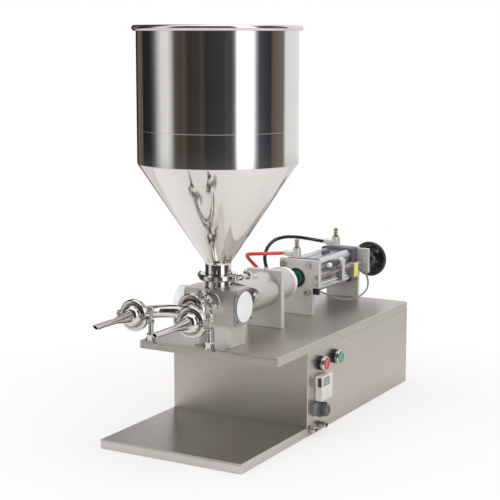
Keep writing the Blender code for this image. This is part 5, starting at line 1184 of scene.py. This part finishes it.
def build_air_cylinder():
    """Heads, nose, green seal, extruded barrel with slots, and the tie screws."""
    _, plate_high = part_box("front_bracket")
    plate_face = plate_high.y - FRONT_PLATE
    square = rounded_rectangle((-HEAD_HALF, -HEAD_HALF), (HEAD_HALF, HEAD_HALF), 0.005)
    turn = facing(BACK, RIGHT)
    low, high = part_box("front_head")
    front = plate_high.y + GAP
    head = slab("cylinder_front_head", square, 0, high.y - front, GREY_CAST, (0, front, AXIS_Z), turn)
    carve(head, bore(0.0103, 0.1, (0, front - 0.01, AXIS_Z), BACK))
    put(round_off(head, 0.0009, 3), "base", "grey_cast", "front_head")
    nose = turned(
        "cylinder_nose", ring(0.0212, 0.0168, 0, front - low.y - GAP), BLACK, (0, low.y, AXIS_Z), BACK,
        FINE_STEPS, edge=0.0010,
    )
    put(nose, "base", "black_plastic")
    seal_low, seal_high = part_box("rod_seal")
    depth = seal_high.y - seal_low.y
    seal = turned(
        "rod_seal_ring",
        [(0.0165, 0.0012), (0.0165, depth), (0.0103, depth), (0.0103, 0.0022), (0.0118, 0), (0.0132, 0.0004),
         (0.0141, 0.0022), (0.0151, 0.0022), (0.0157, 0.0006)],
        SEAL_GREEN, (0, seal_low.y, AXIS_Z), BACK, FINE_STEPS, edge=0.0005,
    )
    put(seal, "base", "green_seal", "rod_seal")

    low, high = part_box("air_cylinder_barrel")
    outline = barrel_outline()
    barrel = slab("cylinder_barrel", outline, 0, high.y - low.y, ALUMINIUM, (0, low.y, AXIS_Z), turn)
    carve(barrel, bore(0.0313, 0.4, (0, low.y - 0.1, AXIS_Z), BACK, FINE_STEPS))
    put(level(barrel), "base", "aluminium", "air_cylinder_barrel")
    top = AXIS_Z + 0.0335
    plug = cuboid(
        "slot_sensor", (-0.0060, 0.268, top - 0.0005), (0.0020, 0.302, top + 0.0080), GREY_CAST, edge=0.0026,
        segments=4,
    )
    put(level(plug), "base", "grey_plastic")
    low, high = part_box("rear_head")
    head = slab("cylinder_rear_head", square, 0, high.y - low.y, GREY_CAST, (0, low.y, AXIS_Z), turn)
    put(round_off(head, 0.0009, 3), "base", "grey_cast", "rear_head")

    screws = []
    for sx, sz in CORNERS:
        spot = Vector((sx * TIE_REACH, plate_face, AXIS_Z + sz * TIE_REACH))
        screws.append(socket_screw(
            "tie", 0.0066, 0.0088, 0.0038, spot, FRONT, POLISHED, side=(math.cos(0.4), 0, math.sin(0.4)),
        ))
        screws.append(turned("washer", ring(0.0078, 0.0040, 0, 0.0012), POLISHED, spot, FRONT, SMALL_STEPS))
    put(merge("tie_screws", screws), "base", "satin_steel")


def barrel_outline():
    """Section of the extruded barrel: round corner ribs, and flats with two sensor slots each."""
    reach = 0.026
    rib = 0.0105
    flat = 0.0335
    lean = math.acos((flat - reach) / rib)
    outline = []
    slot = [(-0.0012, 0), (-0.0012, -0.0010), (-0.0022, -0.0010), (-0.0022, -0.0030), (0.0022, -0.0030),
            (0.0022, -0.0010), (0.0012, -0.0010), (0.0012, 0)]
    for k in range(4):
        turn = k * math.pi / 2
        middle = turn + math.pi / 4
        corner = reach * math.sqrt(2)
        centre = (corner * math.cos(middle), corner * math.sin(middle))
        outline += arc(centre, rib, turn - lean, turn + math.pi / 2 + lean, 24)
        normal = Vector((math.cos(turn + math.pi / 2), math.sin(turn + math.pi / 2)))
        along = Vector((-normal.y, normal.x))
        for s in (-0.0115, 0.0115):
            for across, depth in slot:
                outline.append(tuple(normal * (flat + depth) + along * (s + across)))
    return outline


# Air supply

def build_flow_valves():
    """Flow valves with elbows and knurled brass needles."""
    angle = math.radians(215)
    elbow_axis = Vector((math.cos(angle), math.sin(angle), 0))
    for label, y in (("front", 0.1557), ("rear", 0.3536)):
        base = Vector((-0.010, y, AXIS_Z + HEAD_HALF + GAP))
        body = turned(
            "body",
            [(0, 0), (0.0086, 0), (0.0098, 0.0014), (0.0098, 0.0040), (0.0093, 0.0044), (0.0093, 0.0050),
             (0.0098, 0.0054), (0.0098, 0.0188), (0.0090, 0.0192), (0.0090, 0.0200), (0.0096, 0.0204),
             (0.0092, 0.0225), (0, 0.0225)],
            NICKEL, base, edge=0.0004,
        )
        elbow = turned(
            "elbow",
            [(0, 0), (0.0066, 0), (0.0066, 0.0225), (0.0060, 0.0235), (0.0052, 0.0238), (0.0052, 0.0250),
             (0.0058, 0.0254), (0.0058, 0.0282), (0.0052, 0.0285), (0.0043, 0.0285), (0.0043, 0.0245),
             (0, 0.0245)],
            NICKEL, base + UP * 0.0118, elbow_axis, MEDIUM_STEPS, edge=0.0004,
        )
        body.name = f"flow_valve_{label}_body"
        weld(body, elbow)
        carve(body, bore(0.0028, 0.03, base + UP * 0.01125, UP, SMALL_STEPS))
        put(level(body), "base", "aluminium", f"flow_valve_{label}")
        seat = 0.0228
        parts = [
            hexagon("nut", 0.0068, seat, seat + 0.0035, base, UP, BRASS),
            threaded("stem", 0.0025, 0.0003, 0.0008, 0.0110, BRASS, base + UP * (seat - 0.0110), UP),
            turned("neck", rod(0.0036, 0.0138), BRASS, base + UP * (seat + 0.0002), edge=0),
            turned(
                "disc",
                [(0.0026, seat + 0.0075), (0.0058, seat + 0.0075), (0.0058, seat + 0.0095),
                 (0.0026, seat + 0.0095)],
                BRASS, base, edge=0.0004,
            ),
        ]
        knob_low = seat + 0.0135
        knurl = [
            (r * math.cos(a), r * math.sin(a))
            for r, a in ((0.0048 if k % 2 else 0.0044, math.tau * k / 48) for k in range(48))
        ]
        knob = slab("knob", knurl, knob_low, knob_low + 0.006, BRASS, base)
        slit = notch((-0.01, -0.0004, knob_low + 0.0046), (0.01, 0.0004, knob_low + 0.02), base)
        parts.append(carve(knob, slit))
        put(merge(f"flow_needle_{label}_brass", parts), f"needle_{label}", "brass", f"flow_needle_{label}")


def build_fittings():
    """Two push-in tube fittings low on the cabinet's side wall."""
    for label in ("front", "rear"):
        wall, _, length = on_side(f"air_fitting_{label}")
        parts = [
            hexagon("hex", 0.0082, GAP, 0.006, wall, RIGHT, POLISHED),
            turned(
                "barrel",
                [(0.0041, -0.010), (0.005, -0.010), (0.005, 0.0055), (0.0066, 0.0058), (0.0066, length - 0.003),
                 (0.0060, length - 0.0026), (0.0060, length - 0.0016), (0.0056, length), (0.0041, length)],
                POLISHED, wall, RIGHT, MEDIUM_STEPS, edge=0.0004,
            ),
        ]
        put(merge(f"air_inlet_{label}", parts), "base", "satin_steel", f"air_fitting_{label}")
        collar = turned(
            f"air_inlet_collar_{label}", ring(0.0054, 0.0041, length - 0.001, length - 0.00005), BLACK, wall,
            RIGHT, MEDIUM_STEPS, edge=0.0002,
        )
        put(collar, "base", "black_plastic")


# Stroke setting

def build_stroke_setting():
    """Threaded adjusting screw, handwheel, guide rod, sliding sensor holder and sensors."""
    low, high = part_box("adjusting_screw")
    thread = threaded(
        "thread", 0.0040, 0.0007, 0.0020, high.y - low.y, SCREW_STEEL, (SCREW_X, low.y, SCREW_PLACE.z), BACK,
    )
    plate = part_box("rear_bracket")[1].y + GAP
    collar = turned(
        "collar", ring(0.0072, 0.0036, 0, 0.016), SCREW_STEEL, (SCREW_X, plate, SCREW_PLACE.z), BACK,
        MEDIUM_STEPS, edge=0.0008,
    )
    put(merge("stroke_screw", [thread, collar]), "stroke_wheel", "polished_steel", "adjusting_screw")

    middle = Vector((SCREW_X, 0.4171, SCREW_PLACE.z))
    rim = 0.0353
    bead = 0.0062
    wheel = turned(
        "stroke_handwheel",
        [(0.0043, -0.0195), (0.0100, -0.0195), (0.0112, -0.0185), (0.0120, -0.0160), (0.0152, -0.0105),
         (0.0200, -0.0062), (0.0250, -0.0040), (rim - bead, -0.0030)]
        + arc((rim, 0), bead, -math.pi * 0.52, math.pi * 0.52, 26)
        + [(rim - bead, 0.0030), (0.0180, 0.0015), (0.0043, 0.0015)],
        GLOSS_BLACK, middle, BACK, FINE_STEPS, edge=0.0009,
    )
    put(wheel, "stroke_wheel", "black_plastic", "handwheel")
    way = Vector((1, 0, 1)).normalized()
    spot = middle + way * 0.0295 + FRONT * 0.0028
    boss = turned(
        "handwheel_boss", [(0.0024, 0), (0.0056, 0), (0.0056, 0.0030), (0.0024, 0.0030)], BLACK, spot, FRONT,
        SMALL_STEPS, edge=0.0006,
    )
    put(boss, "stroke_wheel", "black_plastic")
    insert = turned(
        "handwheel_insert", [(0.0012, 0), (0.0042, 0), (0.0042, 0.0036), (0.0012, 0.0036)], BRASS, spot, FRONT,
        SMALL_STEPS, edge=0.0004,
    )
    put(insert, "stroke_wheel", "brass")

    low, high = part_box("guide_rod")
    start = (GUIDE_X, low.y, GUIDE_PLACE.z)
    guide = turned("guide_bar", rod(0.0035, high.y - low.y), POLISHED, start, BACK, MEDIUM_STEPS)
    put(guide, "base", "polished_steel", "guide_rod")

    low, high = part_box("sensor_slider")
    sensor_z = SCREW_PLACE.z + SENSOR_RISE
    block = cuboid(
        "sensor_holder", (SCREW_X - 0.0085 + GAP, low.y, low.z),
        (SCREW_X + 0.0085, high.y, SCREW_PLACE.z + 0.013), ALUMINIUM, edge=0.0008,
    )
    tower = rod(0.0098, high.y - low.y)
    weld(block, turned("holder", tower, ALUMINIUM, (SCREW_X, low.y, sensor_z), BACK, edge=0.0008))
    start = low.y - 0.01
    split = notch((0.0496, start, sensor_z), (0.0504, high.y + 0.01, sensor_z + 0.02))
    sensor_bore = bore(0.0061, 0.05, (SCREW_X, start, sensor_z), BACK, MEDIUM_STEPS)
    carve(block, *stroke_bores(start, MEDIUM_STEPS), sensor_bore, split)
    put(level(block), "stroke_sensor", "aluminium", "sensor_slider")
    low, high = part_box("round_sensor")
    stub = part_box("sensor_slider")[0].y - low.y
    face = turned(
        "sensor_face",
        [(0, 0), (0.0040, 0), (0.0054, 0.0012), (0.0054, 0.0085), (0.0040, 0.0090), (0.0040, 0.0300),
         (0, 0.0300)],
        WHITE, (SCREW_X, low.y, sensor_z), BACK, MEDIUM_STEPS, edge=0.0004,
    )
    put(face, "stroke_sensor", "white_plastic", "round_sensor")
    thread = threaded(
        "sensor_barrel", 0.0056, 0.0005, 0.0014, high.y - low.y - 0.0092, GREY_MOULD,
        (SCREW_X, low.y + 0.0092, sensor_z), BACK,
    )
    nut = turned(
        "nut", ring(0.0096, 0.0050, stub - 0.0050, stub - 0.0004), NICKEL, (SCREW_X, low.y, sensor_z), BACK,
        MEDIUM_STEPS, edge=0.0008,
    )
    put(merge("sensor_nut", [nut]), "stroke_sensor", "aluminium")
    put(thread, "stroke_sensor", "black_plastic")

    low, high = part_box("reed_sensor")
    reed = cuboid("reed_switch", low, (high.x - 0.0004, high.y, high.z), ALUMINIUM, edge=0.0015, segments=4)
    carve(reed, *stroke_bores(low.y - 0.01, MEDIUM_STEPS))
    put(level(reed), "base", "aluminium", "reed_sensor")
    label = cuboid(
        "reed_label", (high.x - 0.0006, low.y + 0.0014, low.z + 0.0012),
        (high.x, high.y - 0.0014, high.z - 0.0012), YELLOW, edge=0.0002,
    )
    put(label, "base", "yellow_label")

    low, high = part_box("cable_clip")
    inset = (high.z - low.z) * 0.15
    outline = [(low.x, low.z + inset), (high.x, low.z), (high.x, high.z), (low.x, high.z)]
    clip = slab("cable_boot", outline, -(high.y - low.y), 0, RUBBER, (0, low.y, 0), UPRIGHT)
    grooves = [
        notch(
            (low.x + 0.0028 * (k + 1), low.y - 0.01, low.z - 0.01),
            (low.x + 0.0028 * (k + 1) + 0.0009, low.y + 0.0009, high.z + 0.01),
        )
        for k in range(3)
    ]
    put(round_off(carve(clip, *grooves), 0.0006), "base", "black_rubber", "cable_clip")


# Controls

def build_buttons():
    """Push buttons: black body, silver ring and a dished cap that travels in it."""
    for colour, finish in (("red", RED_PLASTIC), ("green", GREEN_PLASTIC)):
        wall, foot, length = on_side(f"{colour}_button_body")
        body = turned(
            f"{colour}_button_base",
            [(0, foot), (0.011, foot), (0.011, GAP), (0.0148, GAP), (0.0150, 0.0075),
             (0.0138, 0.0080), (0.0138, 0.0040), (0, 0.0040)],
            BLACK, wall, RIGHT, FINE_STEPS, edge=0.0004,
        )
        put(body, "base", "black_plastic", f"{colour}_button_body")
        bezel = turned(
            f"{colour}_button_ring",
            [(0.0150, 0.0082), (0.0150, length - 0.0022), (0.0138, length - 0.0002), (0.0127, length),
             (0.0123, length - 0.0010), (0.0123, 0.0045), (0.0136, 0.0045), (0.0136, 0.0082)],
            POLISHED, wall, RIGHT, FINE_STEPS, edge=0.0004,
        )
        put(bezel, "base", "polished_steel")
        _, foot, top = on_side(f"{colour}_button_cap")
        cap = turned(
            f"{colour}_button_dish",
            [(0, foot), (0.0120, foot), (0.0120, top - 0.0012), (0.0106, top),
             (0.0088, top - 0.0004), (0.0050, top - 0.0010), (0, top - 0.0012)],
            finish, wall, RIGHT, FINE_STEPS, edge=0.0005,
        )
        put(cap, f"{colour}_button", f"{colour}_cap", f"{colour}_button_cap")


def build_counter():
    """Counter unit with its display window, side window and keys, bare of text."""
    low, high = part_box("counter_unit")
    wall = CABINET_HIGH.x
    unit = cuboid("counter_case", (wall + GAP, low.y, low.z), high, BEIGE, edge=0.0018, segments=4)
    body = cuboid(
        "body", (low.x, low.y + 0.003, low.z + 0.003), (wall + 0.008, high.y - 0.003, high.z - 0.003), BEIGE,
        edge=0,
    )
    weld(unit, body)
    span = high.y - low.y
    rise = high.z - low.z
    recess = notch(
        (high.x - 0.0006, low.y + span * 0.08, low.z + rise * 0.58),
        (high.x + 0.01, low.y + span * 0.72, high.z - rise * 0.06),
    )
    keys = []
    cutters = [recess]
    for row in range(2):
        for column in range(4):
            left = low.y + span * (0.08 + column * 0.21)
            bottom = low.z + rise * (0.10 + row * 0.22)
            across = span * 0.17
            tall = rise * 0.16
            cutters.append(notch(
                (high.x - 0.0007, left, bottom), (high.x + 0.01, left + across, bottom + tall),
            ))
            keys.append(cuboid(
                "key", (high.x - 0.0008, left + 0.0004, bottom + 0.0004),
                (high.x - 0.0001, left + across - 0.0004, bottom + tall - 0.0004), BEIGE, edge=0.0003,
            ))
    cutters.append(notch(
        (wall + 0.0062, low.y - 0.01, low.z + rise * 0.56),
        (high.x - 0.0016, low.y + 0.0006, high.z - rise * 0.06),
    ))
    put(level(carve(unit, *cutters)), "base", "beige_plastic", "counter_unit")
    put(merge("counter_keys", keys), "base", "beige_plastic")
    window = cuboid(
        "counter_display", (high.x - 0.0010, low.y + span * 0.085, low.z + rise * 0.585),
        (high.x - 0.0002, low.y + span * 0.715, high.z - rise * 0.065), GLASS_GREY, edge=0.0002,
    )
    put(window, "base", "grey_plastic")
    side = cuboid(
        "counter_side_window", (wall + 0.0064, low.y + 0.0002, low.z + rise * 0.565),
        (high.x - 0.0018, low.y + 0.0010, high.z - rise * 0.065), GLASS_BROWN, edge=0.0002,
    )
    put(side, "base", "black_plastic")


def build_dial():
    """Ribbed dial flange, and a knob with a skirt, pointer, tick marks and ribs on its grip."""
    wall, foot, flange_end = on_side("dial_flange")
    flange = turned(
        "dial_ring",
        [(0, foot), (0.005, foot), (0.005, GAP), (0.0158, GAP), (0.0158, 0.0020),
         (0.0152, 0.0024), (0.0152, flange_end - 0.0016), (0.0160, flange_end - 0.0012),
         (0.0160, flange_end), (0, flange_end)],
        DIAL_GREY, wall, RIGHT, FINE_STEPS, edge=0.0003,
    )
    ribs = [
        cuboid(
            "rib", (0.0148, -0.00035, 0.0028), (0.0158, 0.00035, flange_end - 0.0020), DIAL_GREY, wall,
            facing(RIGHT, (0, math.cos(a), math.sin(a))), 0.0002, 1,
        )
        for a in (math.tau * k / 60 for k in range(60))
    ]
    put(merge("dial_ring_ribbed", [flange] + ribs), "base", "grey_plastic", "dial_flange")
    start = flange_end + GAP
    skirt = start + 0.004
    top = skirt + 0.0125
    knob = turned(
        "dial_grip",
        [(0, start), (0.0168, start), (0.0168, start + 0.0012), (0.0148, skirt), (0.0134, skirt),
         (0.0128, top - 0.0020), (0.0112, top), (0.0060, top), (0.0054, top - 0.0006), (0, top - 0.0006)],
        GREY_MOULD, wall, RIGHT, FINE_STEPS, edge=0.0004,
    )
    ridge = cuboid(
        "ridge", (skirt - 0.002, -0.0022, 0), (top - 0.0012, 0.0022, 0.0164), GREY_MOULD, wall, None, 0.0008,
    )
    weld(knob, ridge)
    grooves = []
    for k in range(24):
        a = math.tau * k / 24 + 0.13
        if abs((a - math.pi / 2 + math.pi) % math.tau - math.pi) < 0.34:
            continue
        spot = wall + Vector((0, 0.0142 * math.cos(a), 0.0142 * math.sin(a)))
        grooves.append(bore(0.0012, 0.02, spot + RIGHT * (skirt + 0.0006), RIGHT, 12))
    carve(knob, *grooves)
    put(level(knob), "speed_dial", "grey_plastic", "dial_knob")
    marks = []
    for k in range(11):
        a = math.pi / 2 + math.radians(135) - math.radians(27) * k
        turn = Matrix.Rotation(a - math.pi / 2, 3, "X")
        marks.append(cuboid(
            "mark", (start + 0.0006, -0.00028, 0.01475), (start + 0.00265, 0.00028, 0.0164), PRINT_WHITE, wall,
            turn, 0.0001, 1,
        ))
    put(merge("dial_marks", marks), "speed_dial", "white_plastic")
    line = cuboid(
        "dial_pointer", (top - 0.0013, -0.0004, 0.0070), (top - 0.0008, 0.0004, 0.0160), PRINT_WHITE, wall,
        None, 0.0001, 1,
    )
    put(line, "speed_dial", "white_plastic")


# Camera, floor and light

def place_camera():
    """The photograph's viewpoint, framed for a square picture."""
    data = bpy.data.cameras.new("camera")
    data.sensor_width = SENSOR
    data.sensor_fit = "HORIZONTAL"
    data.lens = CAMERA_LENS
    camera = bpy.data.objects.new("camera", data)
    bpy.context.collection.objects.link(camera)
    level_view = Matrix.Rotation(CAMERA_YAW, 4, "Z") @ Matrix.Rotation(math.pi / 2 - CAMERA_PITCH, 4, "X")
    rolled = level_view @ Matrix.Rotation(CAMERA_ROLL, 4, "Z")
    camera.matrix_world = Matrix.Translation(CAMERA_PLACE) @ rolled
    bpy.context.scene.camera = camera


FLOOR_RADIUS = 0.85
FLOOR_DROP = 0.0004
FLOOR_COLOUR = (0.86, 0.835, 0.82, 1)
# The floor's own colour thins out between these distances from the middle
FLOOR_FADE = (0.45, 0.82)
FLOOR_CLEARED = (0.62, 1.0)
# Lamps: name, place, size in metres and power in watts
LAMPS = [
    ("key", (-1.6, -2.6, 2.4), 1.6, 26), ("fill", (2.6, -1.4, 1.8), 1.4, 16), ("top", (0.3, 0.6, 3.0), 2.0, 20),
]
LAMP_TARGET = Vector((0, -0.1, 0.3))
# What metal mirrors, from above: ceiling, studio bands, a strip of haze, bands again, and the ground
CEILING_EDGE = (48, 62)
CEILING_LIGHT = (1.25, 1.24, 1.22)
HAZE_TOP = (-5.0, -7.5)
HAZE_FOOT = (-7.5, -8.5)
HAZE_LIGHT = (0.16, 0.155, 0.15)
GROUND_EDGE = (-13, -18)
GROUND_LIGHT = (0.76, 0.73, 0.71)
# What everything else receives, and what the camera sees behind the object
PLAIN_LIGHT = (0.80, 0.80, 0.80)
PAGE_WHITE = (1.0, 1.0, 1.0)
# Light round the object at angles in degrees from the way to the photograph's camera, blended in between
STUDIO_BANDS = [
    (-180, (0.97, 0.97, 0.97)), (-177, (0.97, 0.97, 0.97)), (-174, (0.02, 0.02, 0.02)),
    (-153, (0.02, 0.02, 0.02)), (-150, (0.16, 0.125, 0.10)), (-132, (0.12, 0.095, 0.075)),
    (-127, (0.016, 0.016, 0.018)), (-108, (0.022, 0.024, 0.028)), (-99, (0.10, 0.115, 0.13)),
    (-90, (0.52, 0.55, 0.54)), (-84, (0.80, 0.83, 0.80)), (-73, (0.86, 0.88, 0.85)), (-67, (0.58, 0.59, 0.57)),
    (-61, (0.11, 0.092, 0.078)), (-52, (0.070, 0.056, 0.047)), (-46, (0.105, 0.078, 0.062)),
    (-41, (0.038, 0.035, 0.034)), (-27, (0.045, 0.040, 0.037)), (-20, (0.075, 0.060, 0.050)),
    (-15, (0.030, 0.029, 0.029)), (8, (0.042, 0.042, 0.044)), (14, (0.07, 0.065, 0.062)),
    (20, (0.065, 0.064, 0.066)), (25, (0.20, 0.20, 0.215)), (29, (1.72, 1.72, 1.74)), (51, (1.66, 1.67, 1.69)),
    (56, (0.42, 0.45, 0.50)), (61, (0.07, 0.078, 0.095)), (80, (0.032, 0.032, 0.036)),
    (84, (0.13, 0.10, 0.08)), (106, (0.20, 0.165, 0.14)), (112, (0.86, 0.86, 0.86)),
]


def light_studio():
    """White behind the object, a studio of bright and dark bands in its metal, and soft plain light on it."""
    world = bpy.data.worlds.new("studio")
    bpy.context.scene.world = world
    world.use_nodes = True
    world.node_tree.nodes.clear()
    sky = Nodes(world.node_tree)

    way = sky.add("ShaderNodeSeparateXYZ", {0: sky.add("ShaderNodeTexCoord").outputs["Generated"]}).outputs
    to_camera = math.atan2(-math.cos(CAMERA_YAW), math.sin(CAMERA_YAW))
    bearing = sky.math("ADD", sky.math("ARCTAN2", way["Y"], way["X"]), -to_camera)
    wrapped = sky.add("ShaderNodeMath", {0: bearing, 1: math.pi, 2: -math.pi}, operation="WRAP").outputs[0]
    bands = sky.add("ShaderNodeValToRGB", {"Fac": sky.ramp(wrapped, -math.pi, math.pi, 0.0, 1.0)})
    elements = bands.color_ramp.elements
    while len(elements) > 1:
        elements.remove(elements[-1])
    for k, (angle, colour) in enumerate(STUDIO_BANDS):
        at = (angle + 180) / 360
        element = elements[0] if k == 0 else elements.new(at)
        element.position = at
        element.color = (*colour, 1)
    height = sky.math("ARCSINE", way["Z"], 0.0)

    def rise(start, end):
        """Grows from 0 to 1 between two elevations in degrees."""
        return sky.ramp(height, math.radians(start), math.radians(end), 0.0, 1.0)

    ceiling = sky.blend(rise(*CEILING_EDGE), bands.outputs["Color"], CEILING_LIGHT)
    haze = sky.blend(rise(*HAZE_TOP), ceiling, HAZE_LIGHT)
    low_bands = sky.blend(rise(*HAZE_FOOT), haze, bands.outputs["Color"])
    seen_in_metal = sky.blend(rise(*GROUND_EDGE), low_bands, GROUND_LIGHT)
    path = sky.add("ShaderNodeLightPath").outputs
    plain = sky.blend(path["Is Glossy Ray"], PLAIN_LIGHT, seen_in_metal)
    clear = sky.math("MAXIMUM", path["Is Camera Ray"], path["Is Transmission Ray"])
    shown = sky.blend(clear, plain, PAGE_WHITE)
    light = sky.add("ShaderNodeBackground", {"Color": shown})
    sky.feed(sky.add("ShaderNodeOutputWorld").inputs["Surface"], light.outputs[0])

    for name, place, size, power in LAMPS:
        data = bpy.data.lights.new(name, "AREA")
        data.shape = "SQUARE"
        data.size = size
        data.energy = power
        lamp = bpy.data.objects.new(name, data)
        lamp.location = place
        lamp.rotation_euler = (LAMP_TARGET - Vector(place)).to_track_quat("-Z", "Y").to_euler()
        lamp.visible_glossy = False
        bpy.context.collection.objects.link(lamp)


def lay_floor():
    """A pale floor that keeps the object's shadow and runs out into the white background."""
    bm = bmesh.new()
    bm.faces.new([bm.verts.new((x, y, -FLOOR_DROP)) for x, y in regular(FLOOR_RADIUS, FINE_STEPS)])
    made = Finish("floor")
    made.set(Base_Color=FLOOR_COLOUR, Roughness=0.9)
    white = made.add("ShaderNodeEmission", {"Color": (1, 1, 1, 1), "Strength": 1.0})
    path = made.add("ShaderNodeLightPath")
    where = made.add("ShaderNodeTexCoord").outputs["Object"]
    distance = made.add("ShaderNodeVectorMath", {0: where}, operation="LENGTH").outputs["Value"]
    cleared = made.ramp(distance, *FLOOR_FADE, *FLOOR_CLEARED)
    seen = made.math("MAXIMUM", path.outputs["Is Camera Ray"], path.outputs["Is Transmission Ray"])
    share = made.math("MULTIPLY", cleared, seen)
    mix = made.add("ShaderNodeMixShader", {
        0: share, 1: made.shader.outputs["BSDF"], 2: white.outputs["Emission"],
    })
    made.feed(made.tree.nodes["Material Output"].inputs["Surface"], mix.outputs["Shader"])
    from_bmesh("floor", bm, made.material)


place_camera()
tube("air_tube_red", RED_ROUTE, TUBE_RADIUS, RED_TUBE, "red_tube", "red_air_tube")
tube("air_tube_black", BLACK_ROUTE, TUBE_RADIUS, BLACK_TUBE, "black_tube", "black_air_tube")
tube("sensor_lead", CABLE_ROUTE, CABLE_RADIUS, GREY_CABLE, "grey_cable", "sensor_cable")
build_base()
build_rear_panel()
build_valve()
build_hopper()
build_clamps()
build_outlet()
build_material_cylinder()
build_brackets()
build_air_cylinder()
build_flow_valves()
build_fittings()
build_stroke_setting()
build_buttons()
build_counter()
build_dial()
lay_floor()
light_studio()
bpy.context.scene.view_settings.view_transform = "Standard"
